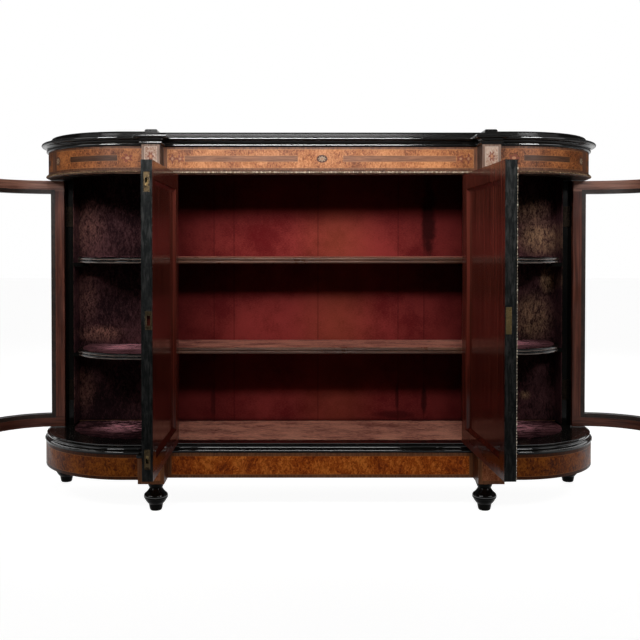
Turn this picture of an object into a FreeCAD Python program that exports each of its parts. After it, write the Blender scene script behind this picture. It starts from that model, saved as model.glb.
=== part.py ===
import FreeCAD, Part
import math
import os
import Sketcher

# Ebonised breakfront credenza: a centre cupboard with a pair of panelled doors between two
# projecting pilasters, and rounded ends with curved glazed doors, on turned feet.
# Millimetres. X runs along the front, Y from front to back, Z up. The floor is Z = 0.
# The doors are drawn standing open.

doc = FreeCAD.newDocument("Credenza")
sheet = doc.addObject("Spreadsheet::Sheet", "Dims")

driving = {
    # plan of the frieze, which every moulding and board follows
    "center_half": 445,  # middle to the inner side of a pilaster
    "pilaster_width": 51,
    "pilaster_step": 69,  # pilaster face in front of the centre face
    "pilaster_depth": 109,
    "end_step": 24,  # end face in front of the centre face
    "half_width": 830,
    "end_radius": 275,
    "end_room": 10,  # least straight run beside an end door's free stile
    "carcass_depth": 355,  # centre face to the back plane
    "face_front": 135,  # centre face in front of the origin
    # heights
    "foot_height": 96,
    "plinth_height": 71.5,
    "base_height": 25.5,
    "opening_height": 765.5,
    "frieze_height": 76.5,
    "core_height": 27,
    "slab_height": 16,
    # how far things stand out from the frieze face
    "plinth_proud": 11,
    "base_proud": 15,
    "top_proud": 20.5,
    "slab_inset": 8,
    "slab_round": 5,
    "core_inset": 20,
    "base_core_inset": 15,
    "bead_size": 10,
    "bead_proud": 5,
    # board thicknesses
    "board": 22,
    "partition_reveal": 20,  # pilaster's inner edge to the partition behind it
    "post_board": 14,
    "post_cover": 14.5,  # rear of the post, standing out past the end door's hinges
    "post_cover_back": 5,
    "back_board": 16,
    "back_rebate": 15,
    "block_depth": 135,  # plinth block, front to back
    "soffit": 16,
    "partition_gap": 1.5,  # door edge to hinge centre line, and hinge centre line to jamb
    "fit_gap": 0.1,
    "clear_gap": 0.3,
    # feet
    "foot_sole_radius": 15.5,
    "foot_ankle_radius": 20.5,
    "foot_bulge_radius": 34.6,
    "foot_neck_radius": 18.5,
    "foot_collar_radius": 26,
    "foot_ankle_height": 18,
    "foot_bulge_height": 41,
    "foot_neck_height": 64,
    "foot_collar_height": 82,
    "foot_back": 10,  # front foot behind the centre face
    "rear_foot_side": 35,  # rear foot inside the widest line of the plinth
    "rear_foot_back": 36,  # rear foot in front of the back plane
    "corner_block": 56,
    # centre doors
    "hinge_half": 435,  # middle to the hinge centre line
    "hinge_reveal": 8,  # least distance from the hinge centre line to the pilaster's side
    "door_setback": 10,  # door face behind the centre face
    "door_thick": 27,
    "door_foot_gap": 2,
    "door_head_gap": 1.5,
    "meeting_gap": 1.5,
    "stile": 44,
    "rail": 44,
    "panel_thick": 9,
    "groove_depth": 8,
    "moulding_width": 10,
    "moulding_lip": 2,
    "moulding_height": 7,
    "left_open": 90.7,
    "right_open": 92.4,
    "door_bead": 6,
    # end doors
    "end_door_setback": 50,
    "end_door_thick": 22,
    "end_stile": 40,
    "end_rebate": 13,
    "end_lip": 10,
    "glass": 3,
    "left_end_open": 93,
    "right_end_open": 100,
    # hinges
    "hinge_proud": 4,
    "knuckle_radius": 3.5,
    "pin_radius": 1.6,
    "pin_play": 0.05,
    "hinge_length": 63,
    "hinge_inset": 110,
    "leaf": 1.2,
    "leaf_depth": 13,
    # bolts, lock and keep
    "bolt_radius": 3,
    "bolt_length": 62,
    "bolt_inset": 13,
    "bolt_travel": 12,
    "bolt_play": 0.05,
    "knob": 6,
    "plate_width": 14.5,
    "plate_height": 48,
    "plate_drop": 28,
    "plate": 1.3,
    "plate_sink": 3,
    "socket_play": 1,
    "lock_middle": 577,
    "lock_height": 64,
    "lock_depth": 32,
    "lock_width": 14,
    "lock_back": 4,  # lock and keep behind the middle of the door's thickness
    "latch_width": 8,
    "latch_height": 24,
    "latch_length": 22,
    "latch_travel": 8,
    "keep_height": 44,
    "keep_width": 16,
    # shelves and linings
    "shelf": 18,
    "nosing": 4.2,
    "center_shelf_setback": 100,
    "end_shelf_setback": 85,
    "lower_shelf": 453.5,
    "upper_shelf": 721.5,
    "left_lower_drop": 14,
    "bearer": 12,
    "cloth": 1.5,
    "velvet": 3,
    "lining_margin": 10,
    "floor_cloth_back": 43,  # centre floor cloth behind the centre face
}

center_back_boards = 4
end_back_boards = 2

for row, (alias, value) in enumerate(driving.items(), start=1):
    sheet.set(f"A{row}", alias)
    sheet.set(f"B{row}", str(value))
    sheet.setAlias(f"B{row}", alias)
doc.recompute()


class Size:
    # A length that keeps its spreadsheet expression beside its value
    def __init__(self, value, text):
        self.value = value
        self.text = text

    def __add__(self, other):
        other = size_of(other)
        return Size(self.value + other.value, f"({self.text} + {other.text})")

    def __sub__(self, other):
        other = size_of(other)
        return Size(self.value - other.value, f"({self.text} - {other.text})")

    def __mul__(self, factor):
        return Size(self.value * factor, f"({self.text} * {factor})")

    def __truediv__(self, factor):
        return Size(self.value / factor, f"({self.text} / {factor})")

    def __neg__(self):
        return Size(-self.value, f"(-{self.text})")

    def least(self, other):
        return Size(min(self.value, other.value), f"min({self.text}; {other.text})")

    def most(self, other):
        return Size(max(self.value, other.value), f"max({self.text}; {other.text})")

    def leg(self, other):
        # other side of a right triangle with this long side
        value = math.sqrt(self.value**2 - other.value**2)
        return Size(value, f"sqrt({self.text}^2 - {other.text}^2)")


def size_of(thing):
    if isinstance(thing, Size):
        return thing
    return Size(float(thing), f"({float(thing)})")


def cell(alias):
    return Size(float(sheet.get(alias)), f"Dims.{alias}")


zero = size_of(0)
D = {alias: cell(alias) for alias in driving}

# levels
plinth_bottom = D["foot_height"]
plinth_top = plinth_bottom + D["plinth_height"]
floor_top = plinth_top + D["base_height"]
frieze_bottom = floor_top + D["opening_height"]
frieze_top = frieze_bottom + D["frieze_height"]
slab_bottom = frieze_top + D["core_height"]
slab_top = slab_bottom + D["slab_height"]
door_bottom = floor_top + D["door_foot_gap"]
door_top = frieze_bottom - D["door_head_gap"]

# plan lines
center_face = -D["face_front"]
pilaster_face = center_face - D["pilaster_step"]
pilaster_back = pilaster_face + D["pilaster_depth"]
end_face = center_face - D["end_step"]
back_plane = center_face + D["carcass_depth"]
half_width = D["half_width"]
hinge_half = D["hinge_half"]
pilaster_in = D["center_half"].most(hinge_half + D["hinge_reveal"])
pilaster_out = pilaster_in + D["pilaster_width"]
end_radius = D["end_radius"].least(half_width - pilaster_out - D["end_stile"] - D["end_room"])
arc_x = half_width - end_radius
arc_y = end_face + end_radius
back_inside = back_plane - D["back_rebate"] - D["back_board"]
door_face = center_face + D["door_setback"]
jamb = hinge_half + D["partition_gap"]
partition_in = pilaster_in + D["partition_reveal"]
partition_out = partition_in + D["board"]
door_outer_radius = end_radius - D["end_door_setback"]
door_inner_radius = door_outer_radius - D["end_door_thick"]
door_lip_radius = door_outer_radius - D["end_lip"]
shelf_radius = end_radius - D["end_shelf_setback"]
post_out = arc_x + door_outer_radius
post_in = post_out - D["post_board"]
post_front = arc_y + D["partition_gap"] * 2
cover_out = post_out + D["post_cover"]
cover_front = post_front + D["post_cover_back"]

nodes = {}


def keep(label, thing):
    thing.Label = label
    nodes[label] = thing
    return thing


def bind(thing, prop, length):
    thing.setExpression(prop, size_of(length).text)


def bind_place(thing, x, y, z):
    for axis, length in zip("xyz", (x, y, z)):
        bind(thing, f"Placement.Base.{axis}", length)


def ordered(pair):
    first, second = pair
    return (first, second) if first.value <= second.value else (second, first)


def mirrored(side, first, second):
    return ordered((size_of(first) * side, size_of(second) * side))


def box(name, x, y, z):
    thing = doc.addObject("Part::Box", name)
    spans = [ordered((size_of(low), size_of(high))) for low, high in (x, y, z)]
    for prop, (low, high) in zip(("Length", "Width", "Height"), spans):
        bind(thing, prop, high - low)
    bind_place(thing, spans[0][0], spans[1][0], spans[2][0])
    return thing


def rod(name, radius, x, y, z):
    thing = doc.addObject("Part::Cylinder", name)
    bind(thing, "Radius", radius)
    bind(thing, "Height", size_of(z[1]) - z[0])
    bind_place(thing, x, y, z[0])
    return thing


def group(name, things):
    thing = doc.addObject("Part::Compound", name)
    thing.Links = things
    return thing


def cut(name, base, tools):
    thing = doc.addObject("Part::Cut", name)
    thing.Base = base
    thing.Tool = tools[0] if len(tools) == 1 else group(f"{name}_tools", tools)
    return thing


def fuse(name, things):
    thing = doc.addObject("Part::MultiFuse", name)
    thing.Shapes = things
    return thing


def line_to(x, y):
    return {"to": (size_of(x), size_of(y))}


def arc_to(x, y, center_x, center_y, radius):
    spot = (size_of(center_x), size_of(center_y))
    return {"to": (size_of(x), size_of(y)), "center": spot, "radius": size_of(radius)}


def bow_to(x, y, through_x, through_y):
    # a three-point arc of a moulding profile
    return {"to": (size_of(x), size_of(y)), "through": (size_of(through_x), size_of(through_y))}


def origin_plane(body, role):
    return [feature for feature in body.Origin.OriginFeatures if feature.Role == role][0]


def vector(spot):
    return FreeCAD.Vector(spot[0].value, spot[1].value, 0)


def edge_of(start, step):
    # the edge, and which of its ends (1 or 2) is the start of the run
    first, last = vector(start), vector(step["to"])
    if "through" in step:
        middle = Part.Arc(first, vector(step["through"]), last).toShape().Curve.Center
    elif "center" in step:
        middle = vector(step["center"])
    else:
        return Part.LineSegment(first, last), (1, 2)
    circle = Part.Circle(middle, FreeCAD.Vector(0, 0, 1), (first - middle).Length)
    turn_first = math.atan2(first.y - middle.y, first.x - middle.x)
    turn_last = math.atan2(last.y - middle.y, last.x - middle.x)
    if (turn_last - turn_first) % (2 * math.pi) <= math.pi:
        return Part.ArcOfCircle(circle, turn_first, turn_last), (1, 2)
    return Part.ArcOfCircle(circle, turn_last, turn_first), (2, 1)


def bow_radius(start, step, curve):
    # the radius of a profile's bow as a share of its chord, so that it follows its ends
    across = step["to"][0] - start[0]
    along = step["to"][1] - start[1]
    chord = math.hypot(across.value, along.value)
    share = curve.Radius / chord
    return Size(curve.Radius, f"({share:.6f} * sqrt({across.text}^2 + {along.text}^2))")


def pin_point(sketch, geometry, end, spot):
    # ties a point of the sketch to the sheet, measured from the sketch's origin
    for kind, axis, length in (("DistanceX", -2, spot[0]), ("DistanceY", -1, spot[1])):
        if abs(length.value) < 1e-9:
            sketch.addConstraint(Sketcher.Constraint("PointOnObject", geometry, end, axis))
            continue
        ends = (-1, 1, geometry, end) if length.value > 0 else (geometry, end, -1, 1)
        index = sketch.addConstraint(Sketcher.Constraint(kind, *ends, abs(length.value)))
        text = length.text if length.value > 0 else f"-{length.text}"
        sketch.setExpression(f"Constraints[{index}]", text)


def draw(body, name, role, start, steps, closed=True, lift=zero):
    sketch = body.newObject("Sketcher::SketchObject", name)
    sketch.AttachmentSupport = (origin_plane(body, role), [""])
    sketch.MapMode = "FlatFace"
    bind(sketch, "AttachmentOffset.Base.z", lift)
    spot = (size_of(start[0]), size_of(start[1]))
    run = list(steps) + ([line_to(*spot)] if closed else [])
    ends = []
    for step in run:
        curve, (begin, finish) = edge_of(spot, step)
        index = sketch.addGeometry(curve)
        pin_point(sketch, index, begin, spot)
        if ends:
            sketch.addConstraint(Sketcher.Constraint("Coincident", *ends[-1][1], index, begin))
        radius = step.get("radius")
        if "through" in step:
            radius = bow_radius(spot, step, curve)
        if radius is not None:
            place = sketch.addConstraint(Sketcher.Constraint("Radius", index, radius.value))
            sketch.setExpression(f"Constraints[{place}]", radius.text)
        ends.append(((index, begin), (index, finish)))
        spot = step["to"]
    if closed:
        sketch.addConstraint(Sketcher.Constraint("Coincident", *ends[-1][1], *ends[0][0]))
    else:
        pin_point(sketch, *ends[-1][1], spot)
    return sketch


def new_body(name):
    return doc.addObject("PartDesign::Body", name)


def pad(body, name, sketch, height):
    feature = body.newObject("PartDesign::Pad", name)
    feature.Profile = sketch
    bind(feature, "Length", height)
    return feature


def sweep(body, name, profile, path):
    feature = body.newObject("PartDesign::AdditivePipe", name)
    feature.Profile = profile
    feature.Spine = path
    feature.Transition = "Right corner"
    return feature


def slab(label, start, steps, bottom, top):
    body = new_body(label)
    plan = draw(body, f"{label}_plan", "XY_Plane", start, steps, lift=bottom)
    pad(body, f"{label}_pad", plan, top - bottom)
    return body


def end_run(side, proud, first_x):
    # along one end from the pilaster to the back plane, a distance outside the frieze face
    radius = end_radius + proud
    front = arc_y - radius
    outer = arc_x + radius
    return (first_x * side, front), [
        line_to(arc_x * side, front),
        arc_to(outer * side, arc_y, arc_x * side, arc_y, radius),
        line_to(outer * side, back_plane),
    ]


def end_run_back(side, proud, last_x):
    radius = end_radius + proud
    front = arc_y - radius
    return [
        line_to((arc_x + radius) * side, back_plane),
        line_to((arc_x + radius) * side, arc_y),
        arc_to(arc_x * side, front, arc_x * side, arc_y, radius),
        line_to(last_x * side, front),
    ]


def front_run(proud):
    # the whole front from the back left corner to the back right corner
    proud = size_of(proud)
    inner = pilaster_in - proud
    outer = pilaster_out + proud
    steps = end_run_back(-1, proud, outer)
    steps.append(line_to(-outer, pilaster_face - proud))
    steps.append(line_to(-inner, pilaster_face - proud))
    steps.append(line_to(-inner, center_face - proud))
    steps.append(line_to(inner, center_face - proud))
    steps.append(line_to(inner, pilaster_face - proud))
    steps.append(line_to(outer, pilaster_face - proud))
    start, rest = end_run(1, proud, outer)
    steps.append(line_to(*start))
    return steps[0]["to"], steps[1:] + rest


def add_moulding(body, label, start, steps):
    # a profile of (outwards from the frieze face, height) swept round the front
    path_start, path_steps = front_run(0)
    path = draw(body, f"{label}_path", "XY_Plane", path_start, path_steps, closed=False)

    def to_left(spot):
        return (-half_width - spot[0], size_of(spot[1]))

    turned = []
    for step in steps:
        turned.append({key: to_left(spot) for key, spot in step.items()})
    profile = draw(body, f"{label}_profile", "XZ_Plane", to_left(start), turned, lift=-back_plane)
    sweep(body, f"{label}_sweep", profile, path)


def moulding(label, start, steps):
    body = new_body(label)
    add_moulding(body, label, start, steps)
    return keep(label, body)


def build_top():
    body = new_body("top_board")
    core = draw(body, "core_plan", "XY_Plane", *front_run(-D["core_inset"] - D["fit_gap"]), lift=frieze_top)
    pad(body, "core_pad", core, D["core_height"])
    edge = -D["slab_inset"]
    tip = D["slab_round"]
    root = edge - tip * 2
    plan = draw(body, "slab_plan", "XY_Plane", *front_run(root), lift=slab_bottom)
    pad(body, "slab_pad", plan, D["slab_height"])
    add_moulding(body, "slab_edge", (root, slab_bottom), [
        line_to(edge, slab_bottom),
        line_to(edge, slab_top - tip),
        bow_to(edge - tip, slab_top, edge - tip * 0.293, slab_top - tip * 0.293),
        line_to(root, slab_top),
    ])
    keep("top_board", body)

    low = frieze_top
    proud = D["top_proud"]
    inner = -D["core_inset"]
    moulding("top_moulding", (inner, low), [
        line_to(size_of(2), low),
        bow_to(2, low + 10, 6, low + 5),
        line_to(3, low + 10),
        bow_to(proud - 6, low + 17, 6, low + 15.5),
        line_to(proud - 5, low + 17.5),
        bow_to(proud - 4, slab_bottom, proud, low + 23),
        line_to(inner, slab_bottom),
    ])


def build_friezes():
    tall = (frieze_bottom, frieze_top)
    rail = box("frieze_rail", (-pilaster_in, pilaster_in), (center_face, pilaster_back), tall)
    socket = bolt_socket("head_socket", frieze_bottom, frieze_bottom + D["bolt_travel"])
    keep("frieze_center", cut("frieze_center", rail, [socket]))
    blocks = []
    for side in (-1, 1):
        across = mirrored(side, pilaster_in, pilaster_out)
        blocks.append(box("frieze_block", across, (pilaster_face, pilaster_back), tall))
    keep("frieze_blocks", group("frieze_blocks", blocks))
    for side, hand in ((-1, "left"), (1, "right")):
        body = new_body(f"frieze_end_{hand}")
        start, steps = end_run(side, zero, pilaster_out)
        steps += end_run_back(side, -D["board"], pilaster_out)
        face = draw(body, f"frieze_plan_{hand}", "XY_Plane", start, steps, lift=frieze_bottom)
        pad(body, f"frieze_pad_{hand}", face, D["frieze_height"])
        start, steps = end_run(side, -D["board"] + 1, pilaster_out)
        reach = D["end_door_setback"] + D["post_board"] - D["meeting_gap"]
        steps += end_run_back(side, -reach, pilaster_out)
        under = draw(body, f"soffit_plan_{hand}", "XY_Plane", start, steps, lift=frieze_bottom)
        pad(body, f"soffit_pad_{hand}", under, D["soffit"])
        keep(f"frieze_end_{hand}", body)
    low = frieze_bottom + 1.5
    seat = D["fit_gap"]
    middle = low + D["bead_size"] / 2
    moulding("frieze_bead", (seat, low), [bow_to(seat, low + D["bead_size"], D["bead_proud"], middle)])


def build_base():
    inner = -D["base_core_inset"]
    proud = D["base_proud"]
    low = plinth_top
    body = slab("bottom_core", *front_run(inner - D["fit_gap"]), low, floor_top)
    socket = bolt_socket("floor_socket", floor_top - D["bolt_travel"], floor_top)
    keep("bottom_board", cut("bottom_board", body, [socket]))
    moulding("base_moulding", (inner, low), [
        line_to(D["plinth_proud"], low),
        bow_to(D["plinth_proud"], low + 10, proud - 0.5, low + 5),
        line_to(D["plinth_proud"] - 2, low + 11),
        bow_to(proud - 7, low + 22.5, proud, low + 16.5),
        line_to(2, low + 23.5),
        line_to(2, floor_top),
        line_to(inner, floor_top),
    ])
    proud = D["plinth_proud"]
    face = center_face - proud
    inside = pilaster_in - proud
    tall = (plinth_bottom, plinth_top)
    keep("plinth_center", box("plinth_center", (-inside, inside), (face, face + D["board"]), tall))
    blocks = []
    corner_blocks = []
    for side, hand in ((-1, "left"), (1, "right")):
        across = mirrored(side, inside, pilaster_out + proud)
        front = pilaster_face - proud
        blocks.append(box("plinth_block", across, (front, front + D["block_depth"]), tall))
        start, steps = end_run(side, proud, pilaster_out + proud)
        steps += end_run_back(side, proud - D["board"], pilaster_out + proud)
        keep(f"plinth_end_{hand}", slab(f"plinth_end_{hand}", start, steps, plinth_bottom, plinth_top))
        wide = half_width + proud - D["board"]
        deep = back_plane - D["board"]
        across = mirrored(side, wide - D["corner_block"], wide)
        corner_blocks.append(box("corner_block", across, (deep - D["corner_block"], deep), tall))
    keep("plinth_blocks", group("plinth_blocks", blocks))
    keep("plinth_corner_blocks", group("plinth_corner_blocks", corner_blocks))
    wide = half_width + proud - D["board"]
    rail = box("plinth_back_rail", (-wide, wide), (back_plane - D["board"], back_plane), tall)
    keep("plinth_back_rail", rail)


def build_foot(label, x, y):
    body = new_body(label)
    bulge, neck = D["foot_bulge_radius"], D["foot_neck_radius"]
    ankle, collar = D["foot_ankle_radius"], D["foot_collar_radius"]
    low, wide = D["foot_ankle_height"], D["foot_bulge_height"]
    thin, high = D["foot_neck_height"], D["foot_collar_height"]
    profile = draw(body, f"{label}_profile", "XZ_Plane", (zero, zero), [
        line_to(D["foot_sole_radius"], zero),
        line_to(D["foot_sole_radius"] + 2, size_of(3)),
        line_to(ankle, low),
        bow_to(bulge - 3, wide - 8, ankle + 5.5, low + 6),
        bow_to(bulge - 4, wide + 8, bulge, wide),
        bow_to(neck, thin, neck + 5, thin - 8),
        line_to(neck + 2, thin + 4),
        line_to(collar, high),
        line_to(collar, D["foot_height"]),
        line_to(zero, D["foot_height"]),
    ])
    turned = body.newObject("PartDesign::Revolution", f"{label}_turning")
    turned.Profile = profile
    turned.ReferenceAxis = (profile, ["V_Axis"])
    turned.Angle = 360
    bind_place(body, x, y, zero)
    keep(label, body)


def build_carcass():
    uprights = []
    for side, hand in ((-1, "left"), (1, "right")):
        post = slab(f"pilaster_{hand}", (pilaster_in * side, pilaster_face), [
            line_to(pilaster_out * side, pilaster_face),
            line_to(pilaster_out * side, pilaster_back),
            line_to(jamb * side, pilaster_back),
            line_to(jamb * side, door_face),
            line_to(pilaster_in * side, door_face),
        ], floor_top, frieze_bottom)
        keep(f"pilaster_{hand}", post)
        across = mirrored(side, partition_in, partition_out)
        wall = box(f"partition_{hand}", across, (pilaster_back, back_inside), (floor_top, frieze_top))
        keep(f"partition_{hand}", wall)
        uprights.append(slab(f"rear_post_{hand}", (post_in * side, post_front), [
            line_to(post_out * side, post_front),
            line_to(post_out * side, cover_front),
            line_to(cover_out * side, cover_front),
            line_to(cover_out * side, back_plane),
            line_to(post_in * side, back_plane),
        ], floor_top, frieze_bottom))
        foot_x = (pilaster_in + D["pilaster_width"] / 2) * side
        build_foot(f"foot_front_{hand}", foot_x, center_face + D["foot_back"])
        foot_x = (half_width + D["plinth_proud"] - D["rear_foot_side"]) * side
        build_foot(f"foot_rear_{hand}", foot_x, back_plane - D["rear_foot_back"])
    keep("rear_posts", group("rear_posts", uprights))
    boards = back_run(-partition_out, partition_out, center_back_boards)
    for side in (-1, 1):
        low, high = mirrored(side, partition_out, post_in)
        boards += back_run(low, high, end_back_boards)
    keep("back_boards", group("back_boards", boards))


def back_run(low, high, count):
    # upright boards side by side, with a hair line between them
    width = (high - low) / count
    boards = []
    for number in range(count):
        across = (low + width * number + D["fit_gap"], low + width * (number + 1) - D["fit_gap"])
        thick = (back_inside, back_inside + D["back_board"])
        boards.append(box("back_board", across, thick, (floor_top, frieze_top)))
    return boards


def nosed_shelf_profile(body, name, plane, front, back, low, side):
    # two beads one above the other on the shelf's front edge
    half = D["shelf"] / 2
    tip = front + D["nosing"] * side
    return draw(body, name, plane, (tip, low), [
        bow_to(tip, low + half, front, low + half / 2),
        bow_to(tip, low + D["shelf"], front, low + half + half / 2),
        line_to(back, low + D["shelf"]),
        line_to(back, low),
    ])


def end_shelf_run(side, inset, margin):
    radius = shelf_radius - inset
    near = partition_out + margin
    start = (near * side, arc_y - radius)
    return start, [
        line_to(arc_x * side, arc_y - radius),
        arc_to((arc_x + radius) * side, arc_y, arc_x * side, arc_y, radius),
        line_to((arc_x + radius) * side, back_inside - D["velvet"] - D["clear_gap"]),
        line_to(near * side, back_inside - D["velvet"] - D["clear_gap"]),
    ]


def build_shelves():
    bearers = []
    mats = []
    cloths = []
    gap = D["clear_gap"]
    shelf_back = back_inside - D["cloth"] - gap
    for name, top in (("lower", D["lower_shelf"]), ("upper", D["upper_shelf"])):
        body = new_body(f"center_shelf_{name}")
        low = top - D["shelf"]
        front = center_face + D["center_shelf_setback"]
        wide = partition_in - gap
        profile = nosed_shelf_profile(body, f"shelf_profile_{name}", "YZ_Plane", front, shelf_back, low, 1)
        bind(profile, "AttachmentOffset.Base.z", -wide)
        pad(body, f"shelf_pad_{name}", profile, wide * 2)
        keep(f"center_shelf_{name}", body)
        strip = front + D["lining_margin"]
        cloths.append(box("shelf_cloth", (-wide, wide), (strip, shelf_back), (top, top + D["cloth"])))
        for side in (-1, 1):
            across = mirrored(side, partition_in - D["bearer"], partition_in)
            bearers.append(box("center_bearer", across, (strip, shelf_back), (low - D["bearer"], low)))
    wide = partition_in - gap
    front = center_face + D["floor_cloth_back"]
    cloths.append(box("floor_cloth", (-wide, wide), (front, shelf_back), (floor_top, floor_top + D["cloth"])))
    keep("center_cloths", group("center_cloths", cloths))
    thick = (back_inside - D["cloth"], back_inside)
    lining = box("back_cloth", (-wide, wide), thick, (floor_top, frieze_top))
    keep("back_cloth", lining)

    linings = []
    for side, hand in ((-1, "left"), (1, "right")):
        shelves = []
        drop = D["left_lower_drop"] if side < 0 else zero
        for name, top in (("lower", D["lower_shelf"] - drop), ("upper", D["upper_shelf"])):
            low = top - D["shelf"]
            shelf = new_body(f"end_shelf_{hand}_{name}")
            start, steps = end_shelf_run(side, D["nosing"], gap)
            plan = draw(shelf, f"shelf_plan_{hand}_{name}", "XY_Plane", start, steps, lift=low)
            pad(shelf, f"shelf_board_{hand}_{name}", plan, D["shelf"])
            add_nosing(shelf, f"{hand}_{name}", side, low)
            shelves.append(shelf)
            start, steps = end_shelf_run(side, D["nosing"] + D["lining_margin"], gap * 2)
            mats.append(slab(f"shelf_velvet_{hand}_{name}", start, steps, top, top + D["velvet"]))
            deep = (start[1] + D["lining_margin"], back_inside - D["velvet"] - gap)
            across = mirrored(side, partition_out, partition_out + D["bearer"])
            bearers.append(box("end_bearer", across, deep, (low - D["bearer"], low)))
            across = mirrored(side, arc_x + shelf_radius - D["bearer"], post_in)
            deep = (post_front, back_inside - D["velvet"] - gap)
            bearers.append(box("post_bearer", across, deep, (low - D["bearer"], low)))
        keep(f"end_shelves_{hand}", group(f"end_shelves_{hand}", shelves))
        start, steps = end_shelf_run(side, shelf_radius - door_inner_radius + D["partition_gap"], gap)
        mats.append(slab(f"floor_velvet_{hand}", start, steps, floor_top, floor_top + D["velvet"]))
        across = mirrored(side, partition_out + gap, post_in - gap)
        deep = (back_inside - D["velvet"], back_inside)
        linings.append(box("back_velvet", across, deep, (floor_top, frieze_top)))
    keep("velvet_backs", group("velvet_backs", linings))
    keep("velvet_mats", group("velvet_mats", mats))
    keep("shelf_bearers", group("shelf_bearers", bearers))


def add_nosing(shelf, name, side, low):
    # the same two beads, swept round the rounded front of an end shelf
    radius = shelf_radius - D["nosing"]
    start = ((partition_out + D["clear_gap"]) * side, arc_y - radius)
    path = draw(shelf, f"nosing_path_{name}", "XY_Plane", start, [
        line_to(arc_x * side, arc_y - radius),
        arc_to((arc_x + radius) * side, arc_y, arc_x * side, arc_y, radius),
    ], closed=False)
    half = D["shelf"] / 2
    root = arc_y - radius
    tip = root - D["nosing"]
    profile = draw(shelf, f"nosing_profile_{name}", "YZ_Plane", (root + 2, low), [
        line_to(root, low),
        bow_to(root, low + half, tip, low + half / 2),
        bow_to(root, low + D["shelf"], tip, low + half + half / 2),
        line_to(root + 2, low + D["shelf"]),
    ], lift=start[0])
    sweep(shelf, f"nosing_sweep_{name}", profile, path)


def hung(label, things, hinge):
    # pieces drawn about a hinge's centre line, turned to the angle the door stands open
    thing = group(label, things)
    turn_to(thing, hinge, hinge["turn"])
    return keep(label, thing)


def turn_to(thing, hinge, turn):
    bind_place(thing, hinge["x"], hinge["y"], zero)
    bind(thing, "Placement.Rotation.Angle", turn)


hinges = {
    "left_door": {"side": -1, "x": -hinge_half, "turn": -D["left_open"], "square": 0},
    "right_door": {"side": 1, "x": hinge_half, "turn": D["right_open"], "square": 0},
    "left_end_door": {"side": -1, "turn": -D["left_end_open"], "square": -90},
    "right_end_door": {"side": 1, "turn": D["right_end_open"], "square": 90},
}
for door, hinge in hinges.items():
    if "x" in hinge:
        hinge["y"] = door_face - D["hinge_proud"]
    else:
        hinge["x"] = (post_out + D["hinge_proud"]) * hinge["side"]
        hinge["y"] = arc_y + D["partition_gap"]

hinge_levels = (door_bottom + D["hinge_inset"], door_top - D["hinge_inset"])


def knuckled_leaf(name, side, level, moving):
    # a leaf with its knuckles, bored for the pin: the door's leaf has the middle knuckle
    third = D["hinge_length"] / 3
    low = level - D["hinge_length"] / 2
    bore = D["pin_radius"] + D["pin_play"]
    gap = D["clear_gap"] / 2
    away = -side if moving else side
    near = size_of(0.15)
    deep = (zero, D["hinge_proud"] + D["leaf_depth"])
    whole = (low, low + D["hinge_length"])
    plate = box(f"{name}_plate", mirrored(away, near, near + D["leaf"]), deep, whole)
    spans = [(low + third, low + third * 2)]
    others = [(low, low + third), (low + third * 2, low + D["hinge_length"])]
    if not moving:
        spans, others = others, spans
    clear = D["knuckle_radius"] + D["clear_gap"]
    notches = []
    for start, end in others:
        notches.append(box(f"{name}_notch", (-clear, clear), (-clear, clear), (start - gap, end + gap)))
    barrels = []
    for start, end in spans:
        barrels.append(rod(f"{name}_knuckle", D["knuckle_radius"], zero, zero, (start + gap, end - gap)))
    hole = rod(f"{name}_bore", bore, zero, zero, whole)
    solid = fuse(f"{name}_fused", [cut(f"{name}_trimmed", plate, notches)] + barrels)
    return cut(name, solid, [hole])


def build_hinges():
    fixed = []
    pins = []
    for door, hinge in hinges.items():
        leaves = []
        for number, level in enumerate(hinge_levels, start=1):
            plate = knuckled_leaf(f"{door}_jamb_{number}", hinge["side"], level, False)
            leaf = group(f"{door}_jamb_leaf_{number}", [plate])
            turn_to(leaf, hinge, size_of(hinge["square"]))
            fixed.append(leaf)
            half = D["hinge_length"] / 2
            span = (level - half, level + half)
            pins.append(rod(f"{door}_pin_{number}", D["pin_radius"], hinge["x"], hinge["y"], span))
            leaves.append(knuckled_leaf(f"{door}_leaf_{number}", hinge["side"], level, True))
        moving = group(f"{door}_hinge_leaves", leaves)
        turn_to(moving, hinge, hinge["turn"] + hinge["square"])
        keep(f"{door}_hinge_leaves", moving)
    keep("hinge_jamb_leaves", group("hinge_jamb_leaves", fixed))
    keep("hinge_pins", group("hinge_pins", pins))


free_edge = hinge_half - D["meeting_gap"] / 2
leaf_front = D["hinge_proud"]
leaf_back = leaf_front + D["door_thick"]
leaf_middle = leaf_front + D["door_thick"] / 2
lock_line = leaf_middle + D["lock_back"]
bolt_reach = free_edge - D["bolt_inset"]


def bolt_socket(name, low, high):
    # the hole that a shot bolt of the closed left door enters
    x = -hinge_half + bolt_reach
    y = door_face - D["hinge_proud"] + leaf_middle
    return rod(name, D["bolt_radius"] + D["socket_play"], x, y, (low, high))


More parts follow.
